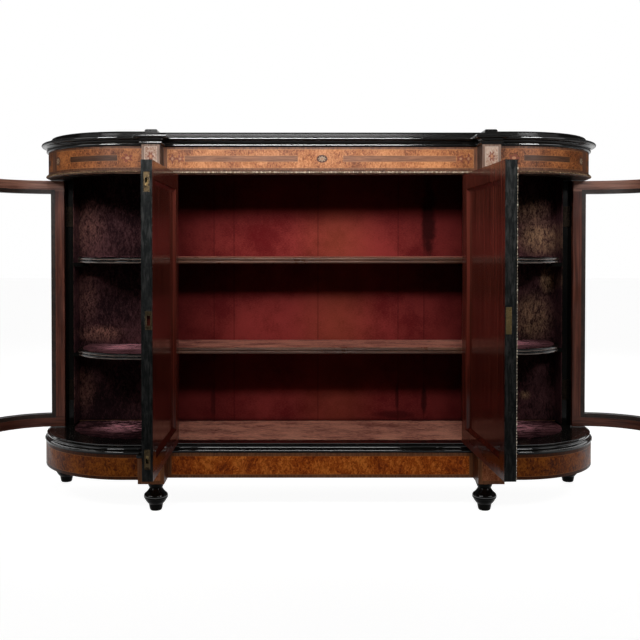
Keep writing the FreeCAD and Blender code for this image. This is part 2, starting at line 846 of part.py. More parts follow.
def build_center_door(door, hand):
    hinge = hinges[door]
    side = hinge["side"]

    def across(near, far):
        return mirrored(-side, near, far)

    root = D["partition_gap"]
    inner_near = root + D["stile"]
    inner_far = free_edge - D["stile"]
    inner_low = door_bottom + D["rail"]
    inner_high = door_top - D["rail"]
    depth = D["groove_depth"]
    half_panel = D["panel_thick"] / 2
    half_groove = half_panel + D["fit_gap"]
    thick = (leaf_front, leaf_back)
    slot = (leaf_middle - half_groove, leaf_middle + half_groove)
    groove = box(f"{door}_groove", across(inner_near - depth, inner_far + depth), slot,
                 (inner_low - depth, inner_high + depth))
    hanging = cut(f"{door}_hanging_stile", box(f"{door}_hanging", across(root, inner_near), thick,
                                               (door_bottom, door_top)), [groove])
    tools = [groove] + (bolt_cuts(door, across) if hand == "left" else lock_cuts(door, across))
    meeting = cut(f"{door}_meeting_stile", box(f"{door}_meeting", across(inner_far, free_edge), thick,
                                               (door_bottom, door_top)), tools)
    hung(f"{door}_stiles", [hanging, meeting], hinge)
    rails = []
    for name, span in (("bottom", (door_bottom, inner_low)), ("top", (inner_high, door_top))):
        blank = box(f"{door}_{name}_blank", across(inner_near, inner_far), thick, span)
        rails.append(cut(f"{door}_{name}_rail", blank, [groove]))
    hung(f"{door}_rails", rails, hinge)
    reach = depth - D["clear_gap"]
    board = box(f"{door}_board", across(inner_near - reach, inner_far + reach),
                (leaf_middle - half_panel, leaf_middle + half_panel), (inner_low - reach, inner_high + reach))
    hung(f"{door}_panel", [board], hinge)
    rings = []
    for name, face, way in (("front", leaf_middle - half_panel, -1), ("back", leaf_middle + half_panel, 1)):
        rings.append(panel_moulding(f"{door}_{name}_moulding", across(inner_near, inner_far),
                                    (inner_low, inner_high), face, way))
    hung(f"{door}_mouldings", rings, hinge)


def panel_moulding(name, x, z, face, way):
    # a sloping frame round the panel, standing on the panel's face
    crest = face + D["moulding_height"] * way
    y = ordered((face, crest))
    blank = box(f"{name}_blank", x, y, z)
    hole = doc.addObject("Part::Wedge", f"{name}_hole")
    at_face, at_crest = D["moulding_width"], D["moulding_lip"]
    first, last = (at_face, at_crest) if way > 0 else (at_crest, at_face)
    for prop, length in (
        ("Xmin", x[0] + first), ("Xmax", x[1] - first), ("X2min", x[0] + last), ("X2max", x[1] - last),
        ("Ymin", y[0]), ("Ymax", y[1]),
        ("Zmin", z[0] + first), ("Zmax", z[1] - first), ("Z2min", z[0] + last), ("Z2max", z[1] - last),
    ):
        bind(hole, prop, length)
    return cut(name, blank, [hole])


plate_face = free_edge - D["plate_sink"] + D["plate"]
bolt_ends = {"top": 1, "bottom": -1}


def bolt_levels(way):
    # plate, thumb piece and rod of one flush bolt, from the door's end inwards
    end = door_top if way > 0 else door_bottom
    plate_span = ordered((end - D["plate_drop"] * way, end - (D["plate_drop"] + D["plate_height"]) * way))
    middle = end - (D["plate_drop"] + D["plate_height"] / 2) * way - D["bolt_travel"] / 2 * way
    knob_span = (middle - D["knob"] / 2, middle + D["knob"] / 2)
    rod_span = ordered((end - size_of(1) * way, end - (D["bolt_length"] + 1) * way))
    return end, plate_span, knob_span, rod_span


def knob_slot(name, across, way, near, far):
    knob_span = bolt_levels(way)[2]
    gap = D["clear_gap"]
    half = D["knob"] / 2 + gap
    low = ordered((knob_span[0] + D["bolt_travel"] * way, knob_span[0]))[0]
    high = ordered((knob_span[1] + D["bolt_travel"] * way, knob_span[1]))[1]
    thick = (leaf_middle - half, leaf_middle + half)
    return box(name, across(near, far), thick, (low - gap, high + gap))


def bolt_cuts(door, across):
    tools = []
    half = D["plate_width"] / 2 + D["fit_gap"]
    for name, way in bolt_ends.items():
        end, plate_span, knob_span, rod_span = bolt_levels(way)
        sink = (plate_span[0] - D["fit_gap"], plate_span[1] + D["fit_gap"])
        tools.append(box(f"{name}_sink", across(free_edge - D["plate_sink"], free_edge + 1),
                         (leaf_middle - half, leaf_middle + half), sink))
        inward = ordered((end, end - (D["bolt_length"] + 3) * way))
        center_x = bolt_reach * -hinges[door]["side"]
        tools.append(rod(f"{name}_bore", D["bolt_radius"] + D["bolt_play"], center_x, leaf_middle, inward))
        tools.append(knob_slot(f"{name}_slot", across, way, bolt_reach, free_edge))
    half = D["keep_width"] / 2 + D["fit_gap"]
    tall = D["keep_height"] / 2 + D["fit_gap"]
    level = D["lock_middle"]
    tools.append(box("keep_sink", across(free_edge - D["plate"], free_edge + 1),
                     (lock_line - half, lock_line + half), (level - tall, level + tall)))
    tools.append(keep_mortise("keep_mortise", across, free_edge - D["latch_travel"] - 1, free_edge + 1))
    return tools


def keep_mortise(name, across, near, far):
    half = D["latch_width"] / 2 + D["socket_play"] / 2
    tall = D["latch_height"] / 2 + D["socket_play"] / 2
    level = D["lock_middle"]
    thick = (lock_line - half, lock_line + half)
    return box(name, across(near, far), thick, (level - tall, level + tall))


def lock_cuts(door, across):
    half = D["lock_width"] / 2 + D["fit_gap"]
    tall = D["lock_height"] / 2 + D["fit_gap"]
    level = D["lock_middle"]
    return [box(f"{door}_lock_mortise", across(free_edge - D["lock_depth"], free_edge + 1),
                (lock_line - half, lock_line + half), (level - tall, level + tall))]


def build_door_metal():
    hinge = hinges["left_door"]

    def across(near, far):
        return mirrored(1, near, far)

    half = D["plate_width"] / 2
    plates = []
    for name, way in bolt_ends.items():
        end, plate_span, knob_span, rod_span = bolt_levels(way)
        blank = box(f"{name}_plate_blank", across(plate_face - D["plate"], plate_face),
                    (leaf_middle - half, leaf_middle + half), plate_span)
        window = knob_slot(f"{name}_plate_slot", across, way, bolt_reach, free_edge)
        plates.append(cut(f"{name}_bolt_plate", blank, [window]))
        shank = rod(f"{name}_shank", D["bolt_radius"], bolt_reach, leaf_middle, rod_span)
        grip = D["knob"] / 2
        thumb = box(f"{name}_thumb", across(bolt_reach, free_edge - D["clear_gap"]),
                    (leaf_middle - grip, leaf_middle + grip), knob_span)
        hung(f"left_bolt_{name}", [fuse(f"{name}_bolt", [shank, thumb])], hinge)
    level = D["lock_middle"]
    tall = D["keep_height"] / 2
    half = D["keep_width"] / 2
    thick = (lock_line - half, lock_line + half)
    blank = box("keep_blank", across(free_edge - D["plate"], free_edge), thick, (level - tall, level + tall))
    window = keep_mortise("keep_window", across, free_edge - D["latch_travel"], free_edge + 1)
    plates.append(cut("keep_plate", blank, [window]))
    hung("left_door_plates", plates, hinge)

    hinge = hinges["right_door"]

    def across_right(near, far):
        return mirrored(-1, near, far)

    tall = D["lock_height"] / 2
    half = D["lock_width"] / 2
    case = box("lock_case", across_right(free_edge - D["lock_depth"], free_edge),
               (lock_line - half, lock_line + half), (level - tall, level + tall))
    gap = D["fit_gap"]
    wide = D["latch_width"] / 2
    high = D["latch_height"] / 2
    back_end = free_edge - D["clear_gap"] - D["latch_length"]
    way = box("lock_way", across_right(back_end - gap, free_edge + 1),
              (lock_line - wide - gap, lock_line + wide + gap), (level - high - gap, level + high + gap))
    hung("right_door_lock", [cut("lock_cut", case, [way])], hinge)
    latch = box("latch", across_right(back_end, back_end + D["latch_length"]),
                (lock_line - wide, lock_line + wide), (level - high, level + high))
    hung("right_lock_bolt", [latch], hinge)
    radius = D["door_bead"] / 2
    half_round = doc.addObject("Part::Common", "meeting_bead")
    half_round.Base = rod("bead_rod", radius, -(free_edge - radius), leaf_front, (door_bottom, door_top))
    half_round.Tool = box("bead_side", across_right(free_edge - D["door_bead"], free_edge),
                          (leaf_front - radius, leaf_front), (door_bottom, door_top))
    hung("right_door_bead", [half_round], hinge)


def curved_strip(label, hinge, outer, inner, near_edge, far_back, low, high):
    # a piece of the curved door between two radii, from its straight front to near the hinge
    side = hinge["side"]

    def local(x, y):
        return (x * side - hinge["x"], y - hinge["y"])

    middle = local(arc_x, arc_y)

    def edge_spot(radius):
        return local(arc_x + radius.leg(far_back), arc_y - far_back)

    return slab(label, local(near_edge, arc_y - outer), [
        line_to(*local(arc_x, arc_y - outer)),
        arc_to(*edge_spot(outer), *middle, outer),
        line_to(*edge_spot(inner)),
        arc_to(*local(arc_x, arc_y - inner), *middle, inner),
        line_to(*local(near_edge, arc_y - inner)),
    ], low, high)


def hinge_strip(label, hinge, outer, inner, near_back, far_back, low, high):
    # an upright piece of the curved door beside the hinge
    side = hinge["side"]

    def spot(radius, back):
        x = arc_x + (radius.leg(back) if back.value > 0 else radius)
        return (x * side - hinge["x"], arc_y - back - hinge["y"])

    middle = (arc_x * side - hinge["x"], arc_y - hinge["y"])
    return slab(label, spot(outer, far_back), [
        arc_to(*spot(outer, near_back), *middle, outer),
        line_to(*spot(inner, near_back)),
        arc_to(*spot(inner, far_back), *middle, inner),
    ], low, high)


def build_end_door(door):
    hinge = hinges[door]
    side = hinge["side"]
    lip = (door_outer_radius, door_lip_radius)
    inner = (door_lip_radius, door_inner_radius)
    wide = D["end_stile"]
    narrow = wide - D["end_rebate"]
    edge = pilaster_out + D["meeting_gap"]
    full = (door_bottom, door_top)
    gap = D["clear_gap"]

    def straight(name, radii, near, far, span):
        x = mirrored(side, near, far)
        x = (x[0] - hinge["x"], x[1] - hinge["x"])
        y = (arc_y - radii[0] - hinge["y"], arc_y - radii[1] - hinge["y"])
        return box(f"{door}_{name}", x, y, span)

    members = [
        fuse(f"{door}_hinge_stile", [
            hinge_strip(f"{door}_hinge_lip", hinge, *lip, zero, wide, *full),
            hinge_strip(f"{door}_hinge_inner", hinge, *inner, zero, narrow, *full),
        ]),
        fuse(f"{door}_free_stile", [
            straight("free_lip", lip, edge, edge + wide, full),
            straight("free_inner", inner, edge, edge + narrow, full),
        ]),
    ]
    for name, end, way in (("bottom", door_bottom, 1), ("top", door_top, -1)):
        lip_span = ordered((end, end + wide * way))
        inner_span = ordered((end, end + narrow * way))
        members.append(fuse(f"{door}_{name}_rail", [
            curved_strip(f"{door}_{name}_lip", hinge, *lip, edge + wide, wide, *lip_span),
            curved_strip(f"{door}_{name}_inner", hinge, *inner, edge + narrow, narrow, *inner_span),
        ]))
    hung(f"{door}_frame", members, hinge)
    glass_out = door_lip_radius - gap
    glass_in = glass_out - D["glass"]
    low, high = door_bottom + narrow + gap, door_top - narrow - gap
    seat = narrow + gap
    pane = curved_strip(f"{door}_pane", hinge, glass_out, glass_in, edge + seat, seat, low, high)
    hung(f"{door}_glass", [pane], hinge)
    fillet_radii = (glass_in - gap, door_inner_radius)
    width = D["end_rebate"] - gap * 2
    fillets = [
        hinge_strip(f"{door}_hinge_fillet", hinge, *fillet_radii, seat, seat + width, low, high),
        straight("free_fillet", fillet_radii, edge + seat, edge + seat + width, (low, high)),
    ]
    for name, span in (("bottom", (low, low + width)), ("top", (high - width, high))):
        stop = seat + gap + width
        fillets.append(curved_strip(f"{door}_{name}_fillet", hinge, *fillet_radii, edge + stop, stop, *span))
    hung(f"{door}_fillets", fillets, hinge)


build_top()
build_friezes()
build_base()
build_carcass()
build_shelves()
build_hinges()
build_center_door("left_door", "left")
build_center_door("right_door", "right")
build_door_metal()
build_end_door("left_end_door")
build_end_door("right_end_door")
doc.recompute()

faults = []
for thing in doc.Objects:
    if "Invalid" in thing.State or "Error" in thing.State:
        faults.append(f"{thing.Label} {thing.State}")
for label, thing in nodes.items():
    shape = thing.Shape
    if shape.isNull() or not shape.isValid() or not shape.Solids:
        faults.append(f"{label} has no sound shape")
if faults:
    raise SystemExit("\n".join(faults))

os.makedirs("parts", exist_ok=True)
for label, thing in nodes.items():
    thing.Shape.exportStep(f"parts/{label}.step")
print(len(nodes), "nodes")
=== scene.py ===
import bpy
import math
import random
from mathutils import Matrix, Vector, noise


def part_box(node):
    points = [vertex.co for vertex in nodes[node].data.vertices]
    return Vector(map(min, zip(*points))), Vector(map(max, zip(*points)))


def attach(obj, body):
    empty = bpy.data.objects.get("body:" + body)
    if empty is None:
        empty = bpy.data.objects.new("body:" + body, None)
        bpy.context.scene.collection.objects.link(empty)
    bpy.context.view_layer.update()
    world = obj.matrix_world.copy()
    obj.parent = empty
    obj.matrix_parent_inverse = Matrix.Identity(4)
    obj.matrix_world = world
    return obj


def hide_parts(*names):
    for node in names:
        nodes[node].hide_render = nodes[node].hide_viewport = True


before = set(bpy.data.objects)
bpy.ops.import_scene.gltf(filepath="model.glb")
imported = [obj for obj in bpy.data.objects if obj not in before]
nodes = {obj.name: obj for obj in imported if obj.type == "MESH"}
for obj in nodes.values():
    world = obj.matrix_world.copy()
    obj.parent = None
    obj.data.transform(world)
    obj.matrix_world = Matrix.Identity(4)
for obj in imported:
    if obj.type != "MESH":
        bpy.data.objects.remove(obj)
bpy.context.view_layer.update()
print("frame loaded:", len(nodes), "nodes")

# plan of the case in metres, as in the part's drawing
case = {
    "arcX": 0.555, "arcY": 0.116, "endRadius": 0.275, "endFace": -0.159, "centerFace": -0.135,
    "pilasterFace": -0.204, "pilasterIn": 0.445, "pilasterMiddle": 0.4705, "pilasterOut": 0.496,
}


def tone(red, green, blue):
    # screen values, 0 to 255, to the linear colour that nodes want
    def linear(c):
        c /= 255
        return c / 12.92 if c <= 0.04045 else ((c + 0.055) / 1.055) ** 2.4
    return (linear(red), linear(green), linear(blue), 1.0)


# node shorthand; newGroup, newFinish and buildBackdrop set the tree that is filled

current = {"tree": None}


def feed(socket, value):
    if isinstance(value, bpy.types.NodeSocket):
        current["tree"].links.new(value, socket)
    elif value is not None:
        socket.default_value = value


def put(kind, links=None, **props):
    node = current["tree"].nodes.new(kind)
    for key, value in props.items():
        setattr(node, key, value)
    for key, value in (links or {}).items():
        feed(node.inputs[key], value)
    return node


def calc(op, a, b=None, c=None, clamp=False):
    return put("ShaderNodeMath", {0: a, 1: b, 2: c}, operation=op, use_clamp=clamp).outputs[0]


def times(a, b, clamp=False):
    return calc("MULTIPLY", a, b, clamp=clamp)


def plus(a, b, clamp=False):
    return calc("ADD", a, b, clamp=clamp)


def minus(a, b):
    return calc("SUBTRACT", a, b)


def absolute(a):
    return calc("ABSOLUTE", a)


def larger(a, b):
    return calc("MAXIMUM", a, b)


def below(a, b):
    return calc("LESS_THAN", a, b)


def scaleAdd(value, share, rest):
    return calc("MULTIPLY_ADD", value, share, rest)


def weigh(first, second, shares):
    return scaleAdd(first, shares[0], times(second, shares[1]))


def away(value, middle):
    # how far from the middle, either way
    return absolute(minus(value, middle))


def ovalSpot(at, middle, size):
    # a place in units of an oval's half sizes, and its distance from the middle, 1 at the rim
    x, y = (calc("DIVIDE", minus(a, m), s) for a, m, s in zip(at, middle, size))
    return x, y, calc("SQRT", plus(times(x, x), times(y, y)))


def mix(mask, first, second):
    return put("ShaderNodeMix", {0: mask, 6: first, 7: second}, data_type="RGBA").outputs[2]


def ramp(value, low, high, lowOut=0.0, highOut=1.0):
    return put("ShaderNodeMapRange", {
        "Value": value, "From Min": low, "From Max": high, "To Min": lowOut, "To Max": highOut,
    }, interpolation_type="SMOOTHSTEP").outputs[0]


def cloud(vector, scale, detail=4.0, rough=0.55, warp=0.0):
    return put("ShaderNodeTexNoise", {
        "Vector": vector, "Scale": scale, "Detail": detail, "Roughness": rough, "Distortion": warp,
    }).outputs["Fac"]


def stretched(vector, amounts):
    return put("ShaderNodeVectorMath", {0: vector, 1: amounts}, operation="MULTIPLY").outputs[0]


def swirled(vector, scale, detail, amounts):
    # a place nudged by a slow noise
    swirl = put("ShaderNodeTexNoise", {"Vector": vector, "Scale": scale, "Detail": detail})
    nudge = stretched(swirl.outputs["Color"], amounts)
    return put("ShaderNodeVectorMath", {0: vector, 1: nudge}, operation="ADD").outputs[0]


def split(vector):
    return put("ShaderNodeSeparateXYZ", {0: vector}).outputs


def facingNormal():
    return put("ShaderNodeNewGeometry").outputs["Normal"]


def socketKind(value):
    # a number is a float, four numbers a colour, and three or none a vector
    if isinstance(value, (int, float)):
        return "NodeSocketFloat"
    return "NodeSocketColor" if value and len(value) == 4 else "NodeSocketVector"


def newGroup(name, ins, outs):
    tree = current["tree"] = bpy.data.node_groups.new(name, "ShaderNodeTree")
    for label, value in ins.items():
        socket = tree.interface.new_socket(label, in_out="INPUT", socket_type=socketKind(value))
        if value is not None:
            socket.default_value = value
    for label in outs:
        kind = "NodeSocketColor" if label == "Color" else "NodeSocketFloat"
        tree.interface.new_socket(label, in_out="OUTPUT", socket_type=kind)
    return put("NodeGroupInput").outputs, put("NodeGroupOutput").inputs


def give(outs, values):
    for label, value in values.items():
        feed(outs[label], value)
    return current["tree"]


def place(group, links):
    return put("ShaderNodeGroup", links, node_tree=group).outputs


def newFinish(name):
    mat = bpy.data.materials.new(name)
    mat.use_nodes = True
    current["tree"] = mat.node_tree
    spot = put("ShaderNodeTexCoord").outputs["Object"]
    return mat, mat.node_tree.nodes["Principled BSDF"], spot


def setShader(shader, **values):
    for key, value in values.items():
        shader.inputs[key.replace("_", " ")].default_value = value


polishDepth = (0.08, 0.0003)  # bump strength and distance of polished wood


def cover(shader, color, rough, height, shine, depth=polishDepth, **values):
    for label, value in (("Base Color", color), ("Roughness", rough), ("Specular IOR Level", shine)):
        feed(shader.inputs[label], value)
    setShader(shader, **values)
    relief = put("ShaderNodeBump", {"Height": height, "Strength": depth[0], "Distance": depth[1]})
    feed(shader.inputs["Normal"], relief.outputs[0])


# shared effects

grainLook = {
    "broad": (1.0, 5, 0.6, 0.5), "bands": (0.32, 0.68), "fine": (6.0, 3, 0.7), "pores": (0.36, 0.46, 1, 0),
}


def buildGrain():
    ins, outs = newGroup("straightGrain", {
        "Vector": None, "Stretch": (40, 40, 2), "Dark": tone(40, 14, 9), "Light": tone(90, 40, 26), "Pores": 0.5,
    }, ("Color", "Height"))
    look = grainLook
    way = stretched(ins["Vector"], ins["Stretch"])
    bands = ramp(cloud(way, *look["broad"]), *look["bands"])
    color = mix(bands, ins["Dark"], ins["Light"])
    pore = times(ramp(cloud(way, *look["fine"]), *look["pores"]), ins["Pores"])
    return give(outs, {"Color": mix(pore, color, ins["Dark"]), "Height": minus(1.0, pore)})


burrLook = {
    "swirl": (40.0, 3.0, (0.028, 0.028, 0.02)), "long": (1.0, 1.0, 0.55), "flecks": (4, 0.62, 0.8),
    "broad": (14.0, 4, 0.6), "shares": (0.5, 0.7), "middle": (0.48, 0.6), "light": (0.58, 0.72),
    "knots": (0.1, 0.28, 1, 0),
}


def buildBurr():
    # amboyna-like flecks and eyes in a slow swirl
    ins, outs = newGroup("burrFigure", {
        "Vector": None, "Size": 60.0, "Dark": tone(84, 38, 14), "Middle": tone(128, 66, 26),
        "Light": tone(176, 104, 48), "Speckle": 0.7,
    }, ("Color", "Height"))
    look = burrLook
    long = stretched(swirled(ins["Vector"], *look["swirl"]), look["long"])
    eyes = put("ShaderNodeTexVoronoi", {"Vector": long, "Scale": ins["Size"]})
    flecks = cloud(long, ins["Size"], *look["flecks"])
    broad = cloud(ins["Vector"], *look["broad"])
    tint = weigh(broad, flecks, look["shares"])
    color = mix(ramp(tint, *look["middle"]), ins["Dark"], ins["Middle"])
    color = mix(ramp(tint, *look["light"]), color, ins["Light"])
    knots = times(ramp(eyes.outputs["Distance"], *look["knots"]), ins["Speckle"])
    return give(outs, {"Color": mix(knots, color, ins["Dark"]), "Height": flecks})


wearLook = {"samples": 6, "edge": (0.86, 0.985, 1, 0), "cloud": (38.0, 5, 0.65), "patches": (0.44, 0.62)}


def buildWear():
    # edges rubbed by hands and dusters, broken up by a slow cloud
    ins, outs = newGroup("rubbedEdges", {"Vector": None, "Width": 0.002, "Amount": 0.6}, ["Mask"])
    look = wearLook
    soft = put("ShaderNodeBevel", {"Radius": ins["Width"]}, samples=look["samples"]).outputs[0]
    turn = put("ShaderNodeVectorMath", {0: soft, 1: facingNormal()}, operation="DOT_PRODUCT")
    edge = ramp(turn.outputs["Value"], *look["edge"])
    patchy = ramp(cloud(ins["Vector"], *look["cloud"]), *look["patches"])
    return give(outs, {"Mask": times(times(edge, patchy), ins["Amount"], clamp=True)})


dustLook = {"cloud": (14.0, 6, 0.7), "patches": (0.3, 0.75), "up": (0.2, 0.9)}


def buildDust():
    # a thin grey film where things face up
    ins, outs = newGroup("settledDust", {"Vector": None, "Amount": 0.3}, ["Mask"])
    look = dustLook
    up = ramp(split(facingNormal())["Z"], *look["up"])
    patchy = ramp(cloud(ins["Vector"], *look["cloud"]), *look["patches"])
    return give(outs, {"Mask": times(times(up, patchy), ins["Amount"], clamp=True)})


def buildRoundedEnd():
    # distance round an end from where its curve starts, and distance from the curve's centre
    ins, outs = newGroup("roundedEnd", {"Vector": None, "Radius": case["endRadius"]}, ("Run", "Reach", "Height"))
    x, y, z = split(ins["Vector"])
    out = minus(absolute(x), case["arcX"])
    front = minus(case["arcY"], y)
    side = larger(out, 0.0)
    ahead = larger(front, 0.0)
    angle = calc("ARCTAN2", side, larger(ahead, 0.00001))  # never a zero pair
    before = calc("MINIMUM", out, 0.0)
    behind = larger(times(front, -1.0), 0.0)
    return give(outs, {
        "Run": plus(plus(times(angle, ins["Radius"]), before), behind),
        "Reach": calc("SQRT", plus(times(side, side), times(ahead, ahead))),
        "Height": z,
    })


panelSoft = 0.0012  # how soft the edge of a let-in panel is


def buildRuledPanel():
    # a rectangle let into the veneer, and the string line round it
    ins, outs = newGroup("ruledPanel", {
        "Across": 0, "Up": 0, "Middle": 0, "Level": 0, "Half Width": 0.1, "Half Height": 0.02, "Line": 0.0015,
    }, ("Inside", "Line"))
    wide = minus(away(ins["Across"], ins["Middle"]), ins["Half Width"])
    tall = minus(away(ins["Up"], ins["Level"]), ins["Half Height"])
    gap = larger(wide, tall)
    line = below(absolute(gap), times(ins["Line"], 0.5))
    return give(outs, {"Inside": ramp(gap, -panelSoft, panelSoft, 1, 0), "Line": line})


flowerLook = {"petals": (0.24, 0.66), "eye": 0.3, "ground": 1.15}


def buildFlower():
    # a small inlaid flower: petals, a round eye, and the ground that it is cut into
    ins, outs = newGroup("inlaidFlower", {
        "Across": 0, "Up": 0, "Middle": 0, "Level": 0, "Width": 0.014, "Height": 0.01, "Petals": 8,
    }, ("Petals", "Eye", "Ground"))
    x, y, far = ovalSpot((ins["Across"], ins["Up"]), (ins["Middle"], ins["Level"]), (ins["Width"], ins["Height"]))
    turn = calc("COSINE", times(calc("ARCTAN2", y, x), ins["Petals"]))
    return give(outs, {
        "Petals": below(far, scaleAdd(turn, *flowerLook["petals"])),
        "Eye": below(far, flowerLook["eye"]),
        "Ground": below(far, flowerLook["ground"]),
    })


facingLook = {"under": -0.6, "over": (-0.15, 0.1), "side": 0.7}


def buildFacing():
    # what looks down, what looks out or up, and what looks left or right
    _, outs = newGroup("facing", {}, ("Under", "Over", "Side"))
    x, _, z = split(facingNormal())
    return give(outs, {
        "Under": below(z, facingLook["under"]),
        "Over": ramp(z, *facingLook["over"]),
        "Side": calc("GREATER_THAN", absolute(x), facingLook["side"]),
    })


weaveLook = {"slant": 0.37, "mask": (-0.6, 0.6)}


def buildWeave():
    # warp and weft as two crossed waves
    ins, outs = newGroup("plainWeave", {"Vector": None, "Threads": 900.0}, ("Height", "Mask"))
    x, y, z = split(ins["Vector"])
    warp = plus(x, times(y, weaveLook["slant"]))
    weft = plus(z, y)
    height = times(*(calc("SINE", times(way, ins["Threads"])) for way in (warp, weft)))
    return give(outs, {"Height": height, "Mask": ramp(height, *weaveLook["mask"])})


grainGroup = buildGrain()
burrGroup = buildBurr()
wearGroup = buildWear()
dustGroup = buildDust()
endGroup = buildRoundedEnd()
panelGroup = buildRuledPanel()
flowerGroup = buildFlower()
weaveGroup = buildWeave()
facingGroup = buildFacing()
print("shared effects built")


def grained(spot, stretch, tones, pores):
    return place(grainGroup, {
        "Vector": spot, "Stretch": stretch, "Dark": tones[0], "Light": tones[1], "Pores": pores,
    })


def burred(spot, size, tones, speckle):
    return place(burrGroup, {
        "Vector": spot, "Size": size, "Dark": tones[0], "Middle": tones[1], "Light": tones[2], "Speckle": speckle,
    })


def dress(mat, names):
    for name in names:
        mesh = nodes[name].data
        mesh.materials.clear()
        mesh.materials.append(mat)


# black polish

ebonised = {
    "black": tone(9, 9, 8), "streak": tone(15, 14, 13), "rubbed": tone(64, 44, 32), "dust": tone(96, 86, 78),
    "stretch": (30, 30, 30), "pores": 0.2, "edge": 0.0022, "rough": 0.2, "rubbedRough": 0.2, "dustRough": 0.5,
}
blackFinishes = {
    "ebonisedCase": {
        "dust": 0.1, "coat": 0.15, "coatIor": 1.5,
        "on": ("top_board", "pilaster_left", "pilaster_right", "bottom_board", "rear_posts", "shelf_bearers",
               "right_door_bead"),
    },
    "ebonisedTop": {"coat": 1.0, "coatRough": 0.12, "coatIor": 2.5, "on": ["top_moulding"]},
    "ebonisedBase": {"shine": 0.08, "coat": 0.75, "on": ["base_moulding"]},
    "ebonisedFeet": {
        "wear": 0.3, "dust": 0.02, "shine": 0.03, "coat": 0.6,
        "on": [name for name in nodes if name.startswith("foot_")],
    },
}
nosing = {
    "tones": (tone(66, 51, 44), tone(118, 96, 84)), "stretch": (40, 40, 60), "pores": 0.3, "wear": 0.6,
    "dust": 0.1, "shine": 0.4,
}


def blackPolish(spot, wear, dust):
    look = ebonised
    grain = grained(spot, look["stretch"], (look["black"], look["streak"]), look["pores"])
    rubbed = place(wearGroup, {"Vector": spot, "Width": look["edge"], "Amount": wear})["Mask"]
    film = place(dustGroup, {"Vector": spot, "Amount": dust})["Mask"]
    color = mix(rubbed, grain["Color"], look["rubbed"])
    color = mix(film, color, look["dust"])
    rough = scaleAdd(rubbed, look["rubbedRough"], look["rough"])
    rough = plus(rough, times(film, look["dustRough"]), clamp=True)
    return color, rough, grain["Height"]


def makeEbonised(name, on, coat, wear=0.6, dust=0.05, shine=0.2, coatRough=0.05, coatIor=2.0):
    # the coat lies on what looks out or up, so that the floor does not shine in it
    mat, shader, spot = newFinish(name)
    color, rough, height = blackPolish(spot, wear, dust)
    feed(shader.inputs["Coat Weight"], times(place(facingGroup, {})["Over"], coat))
    cover(shader, color, rough, height, shine, Coat_Roughness=coatRough, Coat_IOR=coatIor)
    dress(mat, on)


def makeNosing(name):
    # black above and below, brown on the faces that look out: the brown paints the highlight on the two front
    # beads
    mat, shader, spot = newFinish(name)
    black, rough, height = blackPolish(spot, nosing["wear"], nosing["dust"])
    grain = grained(spot, nosing["stretch"], nosing["tones"], nosing["pores"])
    facing = place(facingGroup, {})
    # painted light and shade: black where faces look up or down, brown where they look out
    flat = plus(facing["Under"], facing["Over"], clamp=True)
    color = mix(flat, grain["Color"], black)
    cover(shader, color, rough, height, nosing["shine"])
    return mat


# veneers: a panel or strip is its middle and half width; a flower its kind, middle, width, height and petals

veneer = {
    "bandStretch": (220, 220, 14), "stripStretch": (16, 16, 260), "pores": 0.4, "shadedReturnShare": 0.9,
    "cloud": (26.0, 5, 0.6), "rough": (0.3, 0.75, 0.3, 0.5),
}
frieze = {
    "level": 1.002, "halfHeight": 0.0262, "endRadius": case["endRadius"], "line": 0.0012, "lineShare": 0.7,
    "stripHalf": 0.0085, "stripLine": 0.00096, "burrSize": 260.0, "speckle": 0.5, "shine": 0.2,
    "return": tone(64, 52, 48), "shadedUnderside": ebonised["black"], "petalShare": 0.85, "eyeShare": 0.8,
    "ovalGround": tone(76, 42, 28), "ovalPetals": tone(164, 140, 114),
    "sprayPetals": tone(116, 58, 42), "sprayEye": tone(176, 126, 92),
    "center": {
        "band": (tone(84, 50, 34), tone(126, 82, 58)), "strip": (tone(106, 67, 45), tone(148, 99, 71)),
        "burr": (tone(112, 60, 30), tone(164, 98, 54), tone(200, 134, 84)), "string": tone(186, 130, 86),
        "panels": [(0.0, 0.4345)], "strips": [(0.2245, 0.1605)],
        "flowers": [("oval", 0.0046, 0.0135, 0.0095, 8), ("spray", 0.398, 0.014, 0.012, 5),
                    ("spray", 0.42, 0.011, 0.016, 4)],
    },
    "block": {
        "band": (tone(94, 71, 58), tone(135, 110, 96)), "strips": [],
        "burr": (tone(103, 69, 52), tone(147, 113, 94), tone(176, 154, 138)), "string": tone(196, 180, 166),
        "panels": [(case["pilasterMiddle"], 0.0175)],
        "flowers": [("spray", case["pilasterMiddle"], 0.011, 0.017, 6)],
    },
    # painted shade: the end tones are darker copies of the centre's, for the curved ends that get less light
    "end": {
        "band": (tone(70, 42, 28), tone(110, 70, 48)), "strip": (tone(56, 34, 23), tone(84, 55, 38)),
        "burr": (tone(78, 40, 19), tone(126, 72, 38), tone(168, 104, 58)), "string": tone(158, 104, 62),
        "panels": [(0.0955, 0.148), (0.404, 0.128)], "strips": [(0.0945, 0.0785), (0.404, 0.106)],
        "flowers": [("spray", -0.012, 0.02, 0.014, 5), ("oval", 0.236, 0.012, 0.011, 8)],
    },
}
